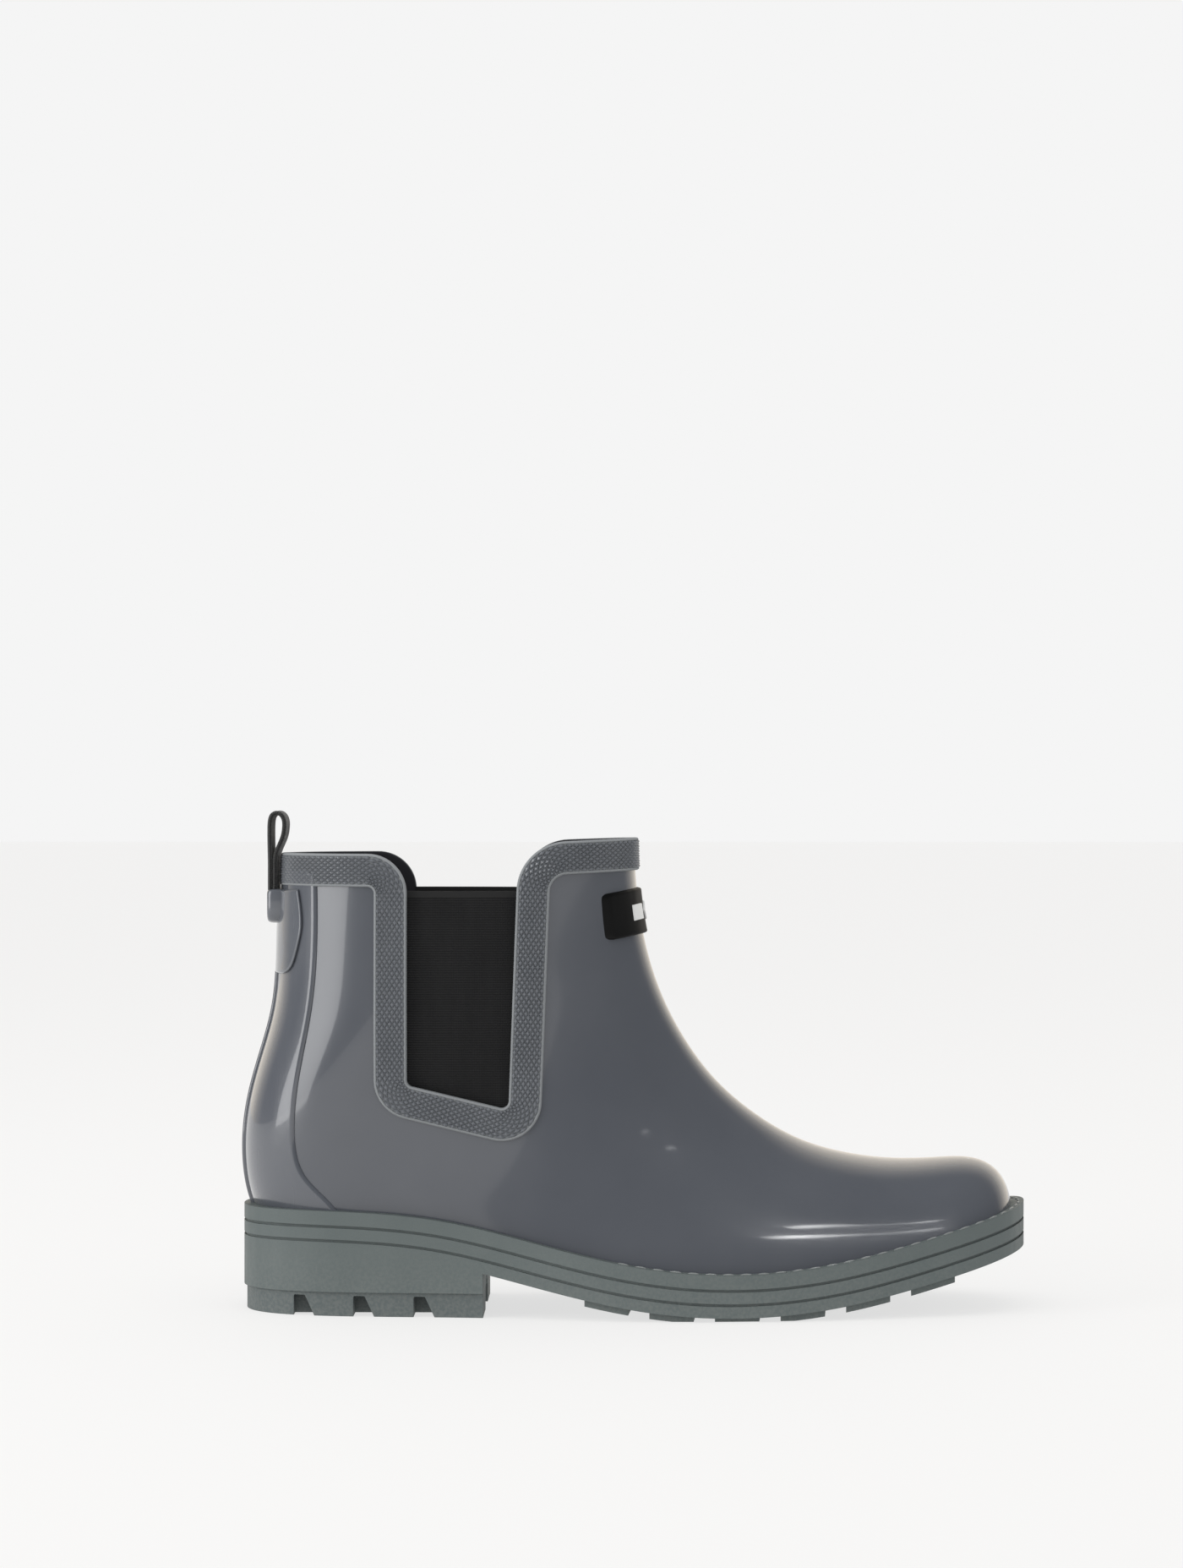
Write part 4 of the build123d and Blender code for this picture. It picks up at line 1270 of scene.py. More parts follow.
@dataclass
class Upper:
    """The moulded upper with its overlay, patch and strip at the back."""

    last: Last
    opening: Opening
    wall: float = 1.7
    overlay_rise: float = 1.1
    patch_rise: float = 1.1
    edge_radius: float = 0.9
    patch_low: float = 120.0
    patch_high: float = 150.4
    strip_half: float = 3.6
    strip_radius: float = 0.8
    overlay_wall: float = 1.0
    hidden: float = 9.0
    gap: float = 2.6
    shoulder_gap: float = 4.5
    shoulder_z: float = 140.0
    rows: int = 210
    columns: int = 60

    def build(self) -> None:
        """Builds and dresses every piece."""
        self.shell()
        self.overlay()
        self.patch()
        self.strip()

    def shell(self) -> None:
        """The upper itself; its cut edges lie under the binding and in the welt."""
        grid = self.last.around(np.linspace(0.7, 14.75, self.rows), self.columns, 0.0)
        x, z = grid[..., 0], grid[..., 2]
        shoulder = self.opening.inside(x, z, self.shoulder_gap) & (z > self.shoulder_z)
        keep = ~self.opening.inside(x, z, self.gap) & ~shoulder & (z > self.last.feather(x) - self.hidden)
        obj = sheet("upper_shell_gloss", grid, keep, True, self.wall)
        dress(obj, GLOSS, "upper_rubber", "upper_shell")

    def overlay(self) -> None:
        """The heel overlay, with a rounded front edge."""
        shares = ((0.0930, 1.02), (0.0950, 0.75), (0.0880, 0.56), (0.0720, 0.36), (0.0670, 0.24),
                  (0.0790, 0.10), (0.1130, 0.02), (0.1500, -0.10))
        rise = self.last.collar_rear - self.last.heel_seat
        corners = [(a * self.last.length, self.last.heel_seat + b * rise) for a, b in shares]
        edge = smooth_curve(corners, 400)[::-1]
        t = np.linspace(0.75, 8.6, 180)

        def ahead(share: np.ndarray) -> np.ndarray:
            """Whether a point of each section lies in front of the edge."""
            p = self.last.skin(t, share, -1.0, 0.0)
            return p[:, 0] > np.interp(p[:, 2], edge[:, 1], edge[:, 0])

        start = sum(halve(np.full(t.shape, 0.2), np.ones(t.shape), ahead, 40)) / 2
        a, b = self.last.skin(t, start, 0.0, 0.0), self.last.skin(t, 1.0, 0.0, 0.0)
        length = np.maximum(np.linalg.norm(a - b, axis=1), 0.01)
        columns, insets = [], []
        for d in (*edge_steps(self.edge_radius), self.edge_radius + 0.6):
            columns.append(start + np.minimum(d / length, 0.9) * (1 - start))
            insets.append(0.1 - (self.overlay_rise + 0.1) * edge_profile(d, self.edge_radius))
        last_share = columns[-1]
        for f in np.sin(np.linspace(0, math.pi / 2, 26))[1:]:
            columns.append(last_share + (1 - last_share) * f)
            insets.append(-self.overlay_rise)
        share, inset = np.array(columns).T, np.array(insets)[None]
        lateral = self.last.skin(t[:, None], share, -1.0, inset)
        medial = self.last.skin(t[:, None], share, 1.0, inset)
        grid = np.concatenate([lateral, medial[:, -2::-1]], 1)
        x, z = grid[..., 0], grid[..., 2]
        keep = (z > self.last.feather(x) - self.hidden + 1.0) & ~self.opening.inside(x, z, 6.0)
        obj = sheet("heel_overlay_gloss", grid, keep, False, self.overlay_wall)
        dress(obj, OVERLAY, "overlay_rubber", "heel_overlay")

    def patch(self) -> None:
        """The patch under the pull loop."""
        line = smooth_curve([(13.0, self.patch_low), (16.0, 121.6), (18.2, 125.6), (19.6, 130.6),
                             (20.8, 136.6), (20.6, 143.5), (19.5, self.patch_high)])
        steps = edge_steps(self.edge_radius)
        tall = self.patch_high - self.patch_low
        zs = np.array(steps + list(np.linspace(1.6, tall - 1.6, 34)) + [tall - s for s in reversed(steps)])
        far = np.interp(self.patch_low + zs, line[:, 1], line[:, 0])
        base = -self.overlay_rise
        outer = np.full(len(zs), base - self.patch_rise)
        ridge = far - self.last.reach(far, self.patch_low + zs, -1.0, 0.0, outer)
        columns, gaps = [], []
        for d in steps + [self.edge_radius + 0.5]:
            columns.append(far - d)
            gaps.append(d)
        near = columns[-1]
        for f in np.sin(np.linspace(0, math.pi / 2, 22))[1:]:
            columns.append(near + (ridge - near) * f)
            gaps.append(tall)
        x = np.array(columns).T
        distance = np.minimum(np.array(gaps)[None], np.minimum(zs, tall - zs)[:, None])
        inset = base + 0.1 - (self.patch_rise + 0.1) * edge_profile(distance, self.edge_radius)
        z = np.broadcast_to((self.patch_low + zs)[:, None], x.shape)
        sides = [self.last.at(x, z, side, inset) for side in (-1.0, 1.0)]
        unders = [self.last.at(x, z, side, np.full(x.shape, base + 0.4)) for side in (-1.0, 1.0)]
        top, bottom = (np.concatenate([a, b[:, -2::-1]], 1) for a, b in (sides, unders))
        dress(slab("back_patch_gloss", top, bottom), PATCH, "patch_rubber", "back_patch")

    def strip(self) -> None:
        """The narrow raised strip down the back seam."""
        steps, flat = edge_steps(self.strip_radius), self.strip_half - 1.5 * self.strip_radius
        ys = np.array([-self.strip_half + s for s in steps] + list(np.linspace(-flat, flat, 7))
                      + [self.strip_half - s for s in reversed(steps)])
        zs = np.linspace(self.last.heel_seat - 1.5, self.patch_low + 0.6, 90)
        y, z = np.meshgrid(ys, zs)
        base = -self.overlay_rise
        rounded = edge_profile(self.strip_half - np.abs(y), self.strip_radius)
        inset = base + 0.1 - (self.patch_rise + 0.1) * rounded
        top = self.last.facing(End.BACK, y, z, inset)
        bottom = self.last.facing(End.BACK, y, z, np.full(y.shape, base + 0.4))
        dress(slab("back_strip_gloss", top, bottom), OVERLAY, "overlay_rubber", "back_seam_strip")


@dataclass
class Binding:
    """The knurled binding along the collar and round the elastic."""

    last: Last
    opening: Opening
    width: float = 11.7
    rise: float = 1.4
    lip: float = 1.3
    wall: float = 1.8
    rim: float = 0.85
    sunk: float = 0.5
    pitch: float = 2.75
    lines: int = 11
    bed: float = 0.2

    def profile(self) -> list[tuple[float, float]]:
        """The binding's cross-section, going round.

        Returns:
            Distance from the edge and inset of each point, in mm.
        """
        top, low = -self.rise, -self.rise + self.sunk
        w, r = self.width, self.rim
        edge = [(0.02, top + 0.8), (0.15, top + 0.35), (0.42, top + 0.08), (0.6, top), (r, top + 0.08),
                (r + 0.2, low)]
        field = [(r + 0.5 + (w - 2 * r - 1.0) * k / 8, low) for k in range(9)]
        back = [(w - away, inset) for away, inset in reversed(edge)]
        under = [(w, 0.06), (w / 2, 0.06), (self.lip, 0.06)]
        return [(self.lip, self.wall), (0.0, self.wall), (0.0, 0.2), *edge, *field, *back, *under]

    def build(self) -> None:
        """Builds the two halves, each with its knurl."""
        studs = StudTree("knurl studs", Shape.DIAMOND)
        for side in Side:
            word = side.name.lower()
            rings = self.opening.sweep(np.array(self.profile()), side)
            obj = tube(f"collar_binding_{word}_band", rings, 32.0)
            dress(obj, BINDING, "binding_rubber", f"collar_binding_{word}")
            # the knurl studs carry the lighter, painted-light copy of the binding rubber
            dress(self.knurl(studs, side, word), LIT_KNURL, "binding_rubber")

    def knurl(self, studs: StudTree, side: Side, word: str) -> bpy.types.Object:
        """Rows of small diamonds over the sunk field, staggered.

        Args:
            studs: The tree that sets them.
            side: Side of the boot.
            word: The side's name.

        Returns:
            The finished mesh.
        """
        first, last = self.rim + 0.6, self.width - self.rim - 0.6
        levels = np.linspace(first, last, self.lines)
        half = (last - first) / (self.lines - 1)
        low = -self.rise + self.sunk
        grid = self.opening.sweep(np.stack([levels, np.full(self.lines, low)], -1), side)
        middle = grid[:, self.lines // 2]
        run = distances(middle)
        ahead = np.gradient(grid, axis=0) / np.maximum(np.gradient(run), 1e-6)[:, None, None]
        across = np.gradient(grid, axis=1)
        points, ups, aheads, scales = [], [], [], []
        for k in range(self.lines):
            stops = np.arange(0.6 + (k % 2) * self.pitch / 2, run[-1] - 0.5, self.pitch)
            at = [np.stack([np.interp(stops, run, a[:, k, j]) for j in range(3)], -1)
                  for a in (grid, ahead, across)]
            up = unit(np.cross(at[1], at[2]))
            out = at[0] * (1.0, 1.0, 0.0) - (self.opening.middle_x, 0.0, 0.0)
            up *= np.where((up * out).sum(1) < 0, -1, 1)[:, None]
            points.append(at[0] + up * self.bed)
            ups.append(up)
            aheads.append(at[1])
            scales.append(np.stack([np.linalg.norm(at[1], axis=1), *np.ones((2, len(stops)))], -1))
        return studs.grow(f"knurl_{word}", *(np.vstack(a) for a in (points, ups, aheads, scales)), LIT_KNURL,
                          Length=self.pitch * 0.93, Width=half * 2 * 0.92, Height=0.66, Flat=0.10)


@dataclass
class Elastic:
    """The two elastic panels with their hems."""

    last: Last
    opening: Opening
    top: float = 150.2
    hem: float = 2.4
    tuck: float = 4.0
    inset: float = 1.9
    wall: float = 1.2
    rib: float = 0.85
    rib_depth: float = 0.14
    hem_depth: float = 0.28

    def _edges(self, z: np.ndarray) -> tuple[np.ndarray, np.ndarray]:
        """The panel's sides at a height.

        Args:
            z: Height, in mm.

        Returns:
            Rear and front x.
        """
        o = self.opening
        share = (z - o.front_low_z) / (o.front_z - o.front_low_z)
        front = o.front_low_x + share * (o.front_x - o.front_low_x)
        return np.full(z.shape, o.rear_x - self.tuck), front + self.tuck

    def build(self) -> None:
        """Builds the panel and hem of each side."""
        for side in Side:
            word = side.name.lower()
            low = self.opening.front_low_z - self.tuck
            for name, start, stop, slot, finish, node in (
                ("web", low, self.top - self.hem, "elastic", ELASTIC, f"gore_{word}"),
                ("hem", self.top - self.hem, self.top, "elastic_hem", HEM, f"gore_hem_{word}"),
            ):
                ribbed = name == "web"
                rows = int((stop - start) / self.rib * 6) if ribbed else 14
                zs = np.linspace(start, stop, rows)
                rear, front = self._edges(zs)
                share = np.linspace(0, 1, 36)
                x = rear[:, None] + (front - rear)[:, None] * share[None]
                z = np.broadcast_to(zs[:, None], x.shape)
                if ribbed:
                    relief = self.rib_depth * np.abs(np.sin(math.pi * z / self.rib))
                else:
                    f = (z - start) / (stop - start)
                    relief = self.hem_depth * np.sqrt(np.clip(1 - (2 * f - 1) ** 2, 0, 1))
                top = self.last.at(x, z, side.value, self.inset - relief)
                under = self.last.at(x, z, side.value, np.full(x.shape, self.inset + self.wall))
                obj = slab(f"gore_{word}_{name}", top, under, 50.0)
                lay_map(obj, np.tile(x.ravel(), 2), np.tile(z.ravel(), 2))
                dress(obj, finish, slot, node)


@dataclass
class Lining:
    """The textile lining, its rim at the collar, and the footbed."""

    last: Last
    opening: Opening
    outer: float = 1.85
    inner: float = 3.6
    rim_width: float = 13.0
    overlap: float = 8.5
    cloth: float = 1.5
    bed_start: float = 9.0
    bed_end: float = 265.0
    bed_thickness: float = 4.0

    def build(self) -> None:
        """Builds lining, rims and footbed."""
        self.body()
        rounding = ((0.15, 0.5), (0.35, 0.12), (0.9, 0.0), (3.0, 0.0), (self.rim_width, 0.0))
        profile = [(away, self.outer + dip) for away, dip in rounding]
        profile += [(away, self.inner - dip) for away, dip in reversed(rounding)]
        for side in Side:
            obj = tube(f"lining_rim_{side.name.lower()}", self.opening.sweep(np.array(profile), side), 50.0)
            dress(obj, LINING, "lining_textile")
        self.footbed()

    def body(self) -> None:
        """The lining from under the rim down to the footbed and into the toe."""
        grid = self.last.around(np.linspace(0.8, 14.0, 120), 30, self.outer + 0.1)
        x, z = grid[..., 0], grid[..., 2]
        keep = ~self.opening.inside(x, z, self.overlap) & (z > self.last.feather(x) + 0.5)
        dress(sheet("lining_body", grid, keep, True, self.cloth), LINING, "lining_textile", "lining")

    def footbed(self) -> None:
        """A crowned insole with a cloth top."""
        xs = eased(self.bed_start, self.bed_end, 90)
        seat, middle = self.last.feather(xs) + 1.8, self.last.centre(xs)
        wide = []
        for rise in (0.1, self.bed_thickness):
            edge = self.last.at(xs, seat + rise, 1.0, np.full(xs.shape, self.inner + 0.1))
            wide.append(np.maximum(edge[:, 1] - middle, 0.4))
        half = np.minimum(*wide)[:, None]
        across = np.sin(np.linspace(-math.pi / 2, math.pi / 2, 33))[None]
        y = middle[:, None] + half * across
        crown = self.bed_thickness - 0.9 + 0.9 * (1 - np.abs(across) ** 4) * np.minimum(1, half / 12)
        x = np.broadcast_to(xs[:, None], y.shape)
        top = np.stack([x, y, seat[:, None] + crown], -1)
        under = np.stack([x, y, np.broadcast_to(seat[:, None] + 0.05, y.shape)], -1)
        obj = slab("footbed_cloth", top, under, 60.0)
        lay_map(obj, np.tile(x.ravel(), 2), np.tile(y.ravel(), 2))
        dress(obj, FOOTBED, "footbed_foam", "footbed")


@dataclass
class Label:
    """The raised plate at the shin with a plain device."""

    last: Last
    half: float = 21.0
    height: float = 16.4
    low: float = 133.6
    rise: float = 1.6
    emblem_rise: float = 0.6
    sag: float = 2.2
    lift: float = 0.9
    corner: float = 1.6
    lozenge: float = 3.4
    bar_y: float = 9.2
    bar_half: float = 3.2
    bar_tall: float = 2.8

    def _plate(self, name: str, y0: float, half_y: Callable[[np.ndarray], np.ndarray], half_z: float,
               base: float, rise: float, radius: float, columns: int, rows: int) -> bpy.types.Object:
        """A raised plate on the front of the leg.

        Args:
            name: Name of the piece.
            y0: Middle across, from the middle of the boot.
            half_y: Half width as a function of the height over the middle.
            half_z: Half height.
            base: Inset of the surface it stands on.
            rise: How far it stands proud.
            radius: Rounding of its edge.
            columns: Points across.
            rows: Points up.

        Returns:
            The closed piece.
        """
        steps, flat = edge_steps(radius), half_z - radius * 1.4
        dz = np.array([-half_z + s for s in steps] + list(np.linspace(-flat, flat, rows))
                      + [half_z - s for s in reversed(steps)])
        wide = half_y(dz)
        unit = np.linspace(-1, 1, columns)
        rows_y = []
        for w in wide:
            inner = max(w - radius * 1.4, 0.02)
            outer = [min(s, w * 0.9) for s in steps]
            rows_y.append([-w + s for s in outer] + list(inner * unit) + [w - s for s in reversed(outer)])
        y = np.array(rows_y)
        z = np.broadcast_to(dz[:, None], y.shape)
        distance = np.minimum(wide[:, None] - np.abs(y), half_z - np.abs(z))
        inset = base + 0.1 - (rise + 0.1) * edge_profile(distance, radius)
        middle = self.low + self.height / 2 + self.lift
        height = middle + z - self.sag * ((y0 + y) / self.half) ** 2
        top = self.last.facing(End.FRONT, y0 + y, height, inset)
        bottom = self.last.facing(End.FRONT, y0 + y, height, np.full(y.shape, base + 0.3))
        return slab(name, top, bottom, 50.0)

    def build(self) -> None:
        """Builds the plate and the device of a lozenge between two bars."""
        half_z, corner = self.height / 2, self.corner

        def plate_half(dz: np.ndarray) -> np.ndarray:
            """Half width of the plate, less its corner rounding."""
            d = np.clip(corner - (half_z - np.abs(dz)), 0, corner)
            return self.half - (corner - np.sqrt(corner**2 - d**2))

        plate = self._plate("label_plate_black", 0.0, plate_half, half_z, 0.0, self.rise, 0.8, 40, 14)
        dress(plate, LABEL, "label", "label_plate")
        parts = [self._plate("label_device", 0.0, lambda dz: np.maximum(self.lozenge - np.abs(dz), 0.05),
                             self.lozenge - 0.05, -self.rise, self.emblem_rise, 0.3, 7, 9)]
        for y0 in (-self.bar_y, self.bar_y):
            parts.append(self._plate("label_bar", y0, lambda dz: np.full(dz.shape, self.bar_half),
                                     self.bar_tall, -self.rise, self.emblem_rise, 0.3, 11, 5))
        joined = join(parts, "label_emblem_light")
        dress(joined, EMBLEM, "emblem", "label_emblem")


@dataclass
class PullLoop:
    """The webbing strap at the back and the rubber tongue that holds it."""

    last: Last
    half: float = 8.4
    ply: float = 1.3
    edge_roll: float = 0.16
    edge_width: float = 0.8
    front_ply: float = -29.95
    back_ply: float = -31.72
    low: float = 141.0
    hinge: float = 150.75
    bend: float = 2.2
    cover_half: float = 10.0
    cover_low: float = 137.9
    cover_high: float = 150.4
    cover_back: float = -32.85
    bed: float = -2.2

    def build(self) -> None:
        """Builds strap and cover."""
        self.strap()
        self.cover()

    def strap(self) -> None:
        """One folded strap: two plies out of the cover that part round an open eye."""
        front, back = self.front_ply, self.back_ply
        rising = [(front, self.low), (front, 146.0), (front, 151.0), (front, 156.0), (front, 159.0)]
        eye = [(-29.7, 162.4), (-28.6, 165.6), (-27.2, 169.0), (-26.6, 172.6), (-26.95, 175.7),
               (-28.1, 177.2), (-29.5, 177.6), (-30.9, 176.9), (-31.75, 174.6), (-31.9, 171.5),
               (-31.85, 166.0)]
        falling = [(back, 160.0), (back, 156.0), (back, 151.0), (back, 146.0), (back, self.low)]
        path = smooth_curve([(HEEL_CENTRE + x, z) for x, z in rising + eye + falling], 260)
        heading = unit(np.gradient(path, axis=0))
        left = np.stack([-heading[:, 1], heading[:, 0]], -1)
        section = []
        for sign in (1, -1):
            for u in np.linspace(-1, 1, 22)[::sign]:
                y = self.half * math.copysign(abs(u) ** 0.85, u)
                end = max(0.0, (abs(y) - (self.half - self.edge_width)) / self.edge_width)
                roll = self.edge_roll * math.exp(-(((abs(y) - (self.half - 1.0)) / 0.7) ** 2))
                section.append((y, sign * (self.ply / 2 + roll) * math.sqrt(max(0.0, 1 - end * end))))
        across, thick = np.array(section).T
        rings = np.zeros((len(path), len(section), 3))
        rings[..., 0] = path[:, :1] + left[:, :1] * thick[None]
        rings[..., 1] = across[None]
        rings[..., 2] = path[:, 1:] + left[:, 1:] * thick[None]
        obj = tube("pull_strap_webbing", rings, 55.0)
        lay_map(obj, np.tile(across, len(path)), np.repeat(distances(path), len(section)))
        dress(obj, WEB, "webbing", "pull_loop", "pull_loop_tail", body=None)
        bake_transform(obj)

    def cover(self) -> None:
        """The tongue of rubber over the strap's ends."""
        count, tall, outline = 64, self.cover_high - self.cover_low, []
        for a in 2 * math.pi * np.arange(count) / count:
            cy, cz = math.cos(a), math.sin(a)
            side, end = (0.42, 0.75) if cz < 0 else (0.18, 0.18)
            y, z = math.copysign(abs(cy) ** side, cy), math.copysign(abs(cz) ** end, cz)
            outline.append((self.cover_half * y, self.cover_low + tall * (0.5 + 0.5 * z)))
        outline = np.array(outline)
        centre = np.array([0.0, self.cover_low + tall * 0.55])
        under, outer = np.full(count, self.bed + 0.3), HEEL_CENTRE + self.cover_back
        levels = [(1.0, 0.0), (1.0, 0.35), (0.985, 0.62), (0.955, 0.82), (0.90, 0.94), (0.82, 0.985),
                  (0.7, 1.0), (0.5, 1.0), (0.3, 1.0), (0.12, 1.0)]
        rings = [self.last.facing(End.BACK, outline[:, 0], outline[:, 1], under) + (2.5, 0.0, 0.0)]
        for shrink, rise in levels:
            flat = centre + (outline - centre) * shrink
            ring = self.last.facing(End.BACK, flat[:, 0], flat[:, 1], under)
            ring[:, 0] += (outer - ring[:, 0]) * rise
            rings.append(ring)
        obj = tube("loop_cover_tongue", np.array(rings), 45.0)
        dress(obj, PATCH, "patch_rubber", "loop_cover")


@dataclass
class Sole:
    """The sole's layers, its heel and the imitation stitching."""

    last: Last
    margin: float = 4.6
    stitch_inset: float = 1.9
    stitch_pitch: float = 6.1
    stitch_start: float = 134.0
    stitch_length: float = 4.1
    stitch_width: float = 1.0
    stitch_height: float = 0.9

    def outline(self, grow: float, count: int = 300) -> np.ndarray:
        """The footprint in plan.

        Args:
            grow: How far it is moved outwards, in mm.
            count: Roughly how many points.

        Returns:
            A closed row of points in mm.
        """
        def over(end: int) -> Callable[[np.ndarray], np.ndarray]:
            """Makes a test of whether a ridge is above the sole.

            Args:
                end: 0 for the front ridge, 2 for the back one.

            Returns:
                The test, of a section.
            """
            def passes(t: np.ndarray) -> np.ndarray:
                """The test itself."""
                ends = self.last.ends(t, np.array(0.0))
                return ends[end + 1] > self.last.feather(ends[end])
            return passes

        def above(share: np.ndarray) -> np.ndarray:
            """Whether a point of each section is above the sole."""
            p = self.last.skin(t, share, 1.0, 0.0)
            return p[:, 2] > self.last.feather(p[:, 0])

        heel = float(halve(np.array(5.0), np.array(8.0), over(2), 40)[0])
        toe = float(halve(np.array(12.0), np.array(15.0), over(0), 40)[0])
        t = eased(heel, toe, count // 2 + 1)
        s0, _s1 = halve(np.zeros(t.shape), np.ones(t.shape), above, 40)
        inner = self.last.skin(t, s0, 1.0, 0.0)
        outer = self.last.skin(t, s0, -1.0, 0.0)
        loop = np.concatenate([inner, outer[-2:0:-1]])[:, :2]
        ahead = unit(np.roll(loop, -1, 0) - np.roll(loop, 1, 0))
        return loop + np.stack([-ahead[:, 1], ahead[:, 0]], -1) * grow

    def build(self) -> None:
        """Dresses the moulded layers and sets the stitches."""
        for node, finish in (("welt", SOLE), ("midsole", SOLE), ("outsole", SOLE), ("heel_lift", HEEL)):
            redress(node, finish)
        self.stitches()

    def stitches(self) -> None:
        """Short raised dashes along the welt, from the waist round the toe."""
        loop = self.outline(self.margin - self.stitch_inset, 600)
        closed = np.vstack([loop, loop[:1]])
        run = distances(closed)
        count = int(run[-1] / self.stitch_pitch)
        stops = np.arange(count) * run[-1] / count
        x, y = (np.interp(stops, run, closed[:, k]) for k in range(2))
        dx, dy = (np.interp(stops + 0.5, run, closed[:, k]) - np.interp(stops - 0.5, run, closed[:, k])
                  for k in range(2))
        keep = x > self.stitch_start
        x, y, dx, dy = x[keep], y[keep], dx[keep], dy[keep]
        slope = self.last.feather(x + 0.5) - self.last.feather(x - 0.5)
        ahead = unit(np.stack([dx, dy, dx * slope], -1))
        up = unit(np.stack([-slope, np.zeros(len(x)), np.ones(len(x))], -1))
        points = np.stack([x, y, self.last.feather(x) + 0.05], -1)
        tree = StudTree("welt dashes", Shape.DASH)
        obj = tree.grow("welt_stitch_dashes", points, up, ahead, np.ones((len(x), 3)), STITCH,
                        Length=self.stitch_length, Width=self.stitch_width, Height=self.stitch_height)
        obj.data.shade_smooth()
        dress(obj, STITCH, "thread", "welt_stitches")


def redress(node: str, finish: Finish) -> None:
    """Gives a CAD node whose shape stays a new finish.

    Args:
        node: The node's name.
        finish: Its finish.
    """
    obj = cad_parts[node]
    made = finish.material()
    if not obj.material_slots:
        obj.data.materials.append(made)
    for held in obj.material_slots:
        held.material = made
    log.info("%s: kept, %s", node, finish.name)


# ---- studio ------------------------------------------------------------------------------------


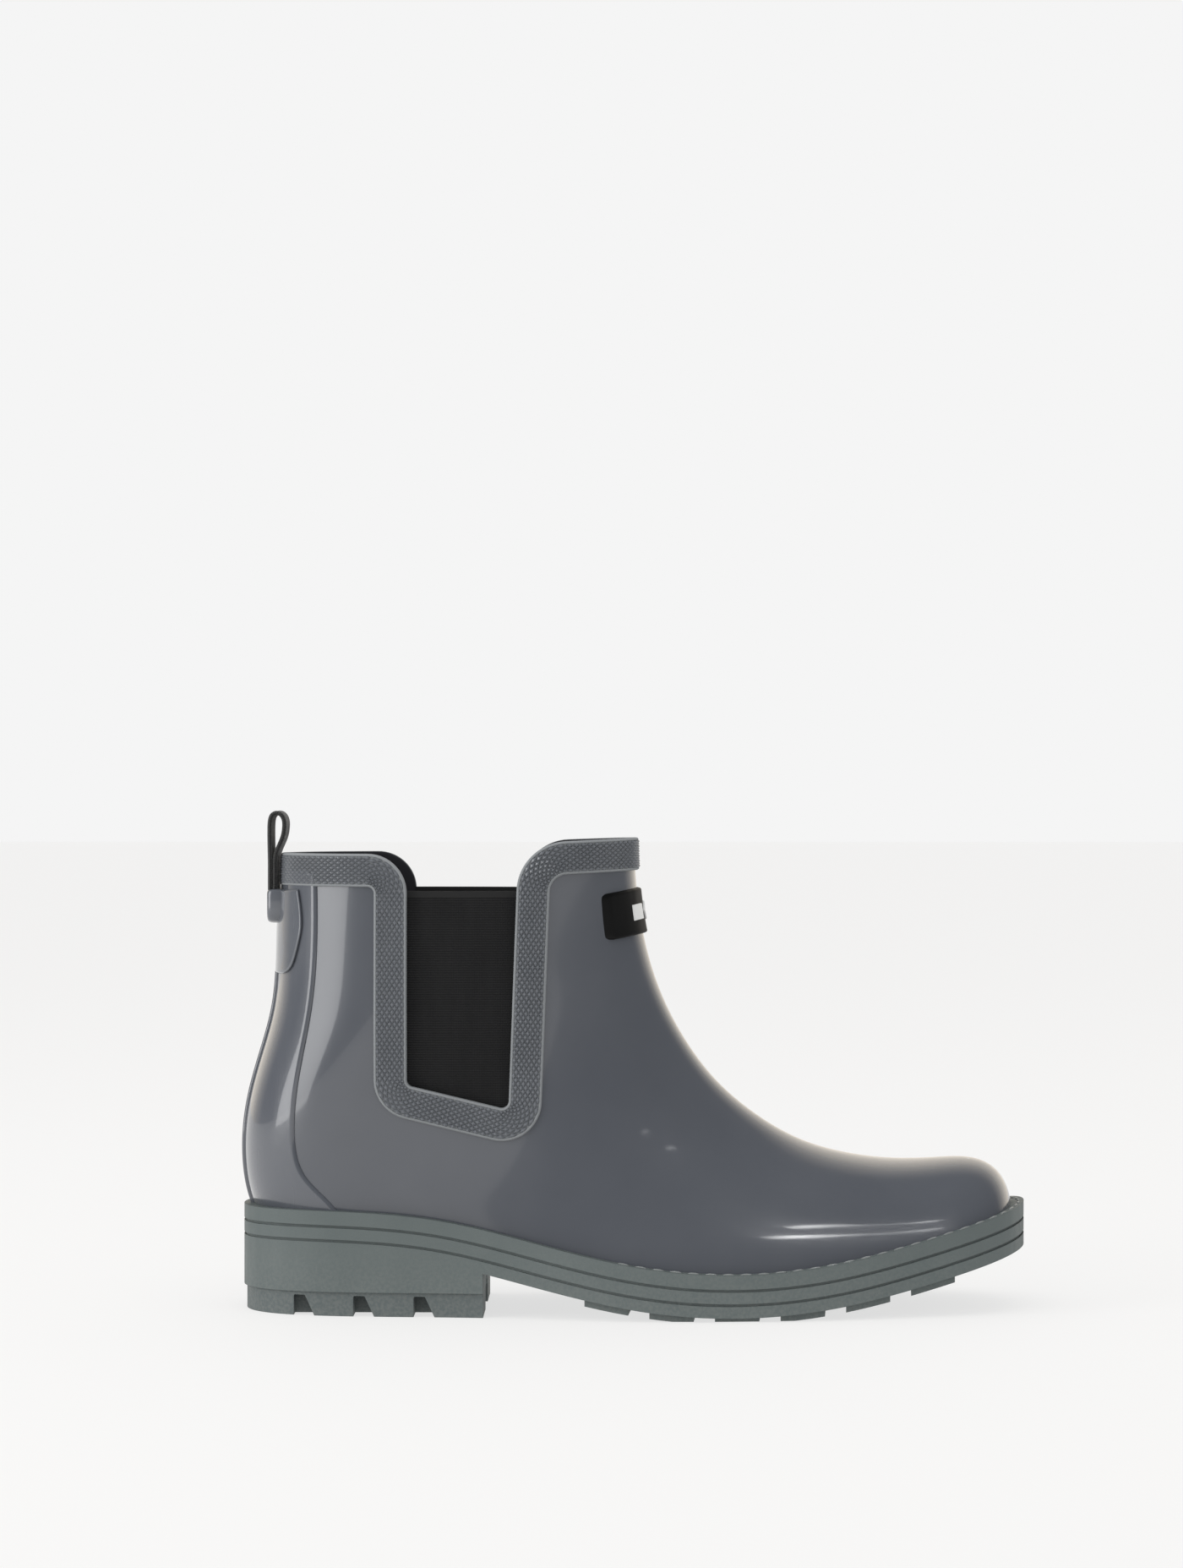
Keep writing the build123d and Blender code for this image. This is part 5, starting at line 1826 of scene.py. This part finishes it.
@dataclass
class Studio:
    """Camera, floor and soft light."""

    distance: float = 1.500
    height: float = 0.188
    aim_x: float = 0.0838
    turn: float = 0.6
    lens: float = 95.4
    floor_half: float = 12.0

    def build(self) -> None:
        """Builds them all."""
        bpy.context.scene.view_settings.view_transform = "Standard"
        self.camera()
        self.floor()
        self.sky()
        self.lights()

    def camera(self) -> None:
        """A level camera on the outer side, with the toe turned slightly towards it."""
        data = bpy.data.cameras.new("camera")
        data.lens, data.sensor_width = self.lens, 36.0
        data.clip_start, data.clip_end = 0.05, 60.0
        camera = put("camera", data)
        a = math.radians(self.turn)
        place = Vector((self.aim_x + math.sin(a) * self.distance, -math.cos(a) * self.distance, self.height))
        camera.location = place
        aim = Vector((self.aim_x, 0.0, self.height))
        camera.rotation_mode = "QUATERNION"
        camera.rotation_quaternion = (aim - place).to_track_quat("-Z", "Y")
        bpy.context.scene.camera = camera

    def floor(self) -> None:
        """A wide pale floor."""
        mesh = bpy.data.meshes.new("floor")
        s = self.floor_half
        mesh.from_pydata([(-s, -s, 0), (s, -s, 0), (s, s, 0), (-s, s, 0)], [], [(0, 1, 2, 3)])
        obj = put("floor", mesh)
        made = bpy.data.materials.new("floor_pale")
        made.use_nodes = True
        shader = made.node_tree.nodes["Principled BSDF"]
        shader.inputs["Base Color"].default_value = (0.20, 0.196, 0.188, 1.0)
        shader.inputs["Emission Color"].default_value = (0.685, 0.685, 0.685, 1.0)
        shader.inputs["Emission Strength"].default_value = 1.0
        shader.inputs["Roughness"].default_value = 0.9
        shader.inputs["Specular IOR Level"].default_value = 0.1
        mesh.materials.append(made)

    def sky(self) -> None:
        """A pale surround, darker behind the camera so that gloss has something to show."""
        world = bpy.data.worlds.new("studio")
        world.use_nodes = True
        bpy.context.scene.world = world
        s = Shade(world.node_tree)
        back = world.node_tree.nodes["Background"]
        place = s.node("ShaderNodeTexCoord").outputs["Generated"]
        split = s.node("ShaderNodeSeparateXYZ")
        s.link(place, split.inputs["Vector"])
        side = s.ramp(split.outputs["Y"], 0.35, 0.75)
        gloss = s.mix(side, (0.13, 0.14, 0.155), (1.15, 1.06, 0.93))
        path = s.node("ShaderNodeLightPath")
        lit = s.mix(path.outputs["Is Glossy Ray"], (0.93, 0.93, 0.94), gloss)
        colour = s.mix(path.outputs["Is Camera Ray"], lit, (0.913, 0.913, 0.913))
        s.link(colour, back.inputs["Color"])
        back.inputs["Strength"].default_value = 1.0

    @staticmethod
    def lamp(name: str, place: tuple[float, float, float], aim: tuple[float, float, float],
             size: tuple[float, float], power: float, gloss: bool = True, roll: float = 0.0,
             spread: float = 180.0) -> None:
        """A soft rectangular lamp.

        Args:
            name: Name of the lamp.
            place: Where it stands.
            aim: The point it faces.
            size: Its width and height.
            power: Watts.
            gloss: Whether it shows in reflections.
            roll: How far its right end is tipped up, in degrees.
            spread: How wide its beam is, in degrees.
        """
        data = bpy.data.lights.new(name, "AREA")
        data.shape, data.size, data.size_y = "RECTANGLE", size[0], size[1]
        data.energy, data.spread = power, math.radians(spread)
        obj = put(name, data)
        obj.visible_glossy, obj.visible_camera = gloss, False
        obj.location = place
        obj.rotation_mode = "QUATERNION"
        facing = (Vector(aim) - Vector(place)).to_track_quat("-Z", "Y")
        obj.rotation_quaternion = facing @ Quaternion((0.0, 0.0, 1.0), math.radians(roll))

    def lights(self) -> None:
        """A tall soft box to the left, a broad one above, and narrow tipped strips to the right."""
        middle = (0.08, 0.0, 0.08)
        self.lamp("left_tall", (-1.5, -0.75, 0.5), middle, (1.0, 1.5), 16.0)
        self.lamp("above", (0.1, -0.3, 2.0), middle, (1.6, 1.2), 9.0, gloss=False)
        self.lamp("strip_toe", (0.385, -0.5, 0.41), (0.163, -0.038, 0.029), (0.18, 0.018), 0.0011, roll=26.0,
                  spread=12.0)
        self.lamp("strip_high", (0.44, -0.5, 0.575), (0.178, -0.033, 0.032), (0.11, 0.015), 0.0005, roll=38.0,
                  spread=12.0)


def hidden_parts() -> None:
    """Finishes for the parts inside the sole and the upper."""
    for node, finish in (("toe_puff", STIFFENER), ("heel_counter", STIFFENER), ("insole_board", BOARD),
                         ("shank", STEEL), ("bottom_filler", FILLER)):
        redress(node, finish)


def main() -> None:
    """Builds the boot, piece by piece, and the studio round it."""
    logging.basicConfig(level=logging.INFO, format="%(name)s %(message)s", stream=sys.stdout)
    Studio().build()
    last = Last()
    opening = Opening(last)
    Upper(last, opening).build()
    Binding(last, opening).build()
    Elastic(last, opening).build()
    Lining(last, opening).build()
    Label(last).build()
    PullLoop(last).build()
    Sole(last).build()
    hidden_parts()


if __name__ == "__main__":
    main()
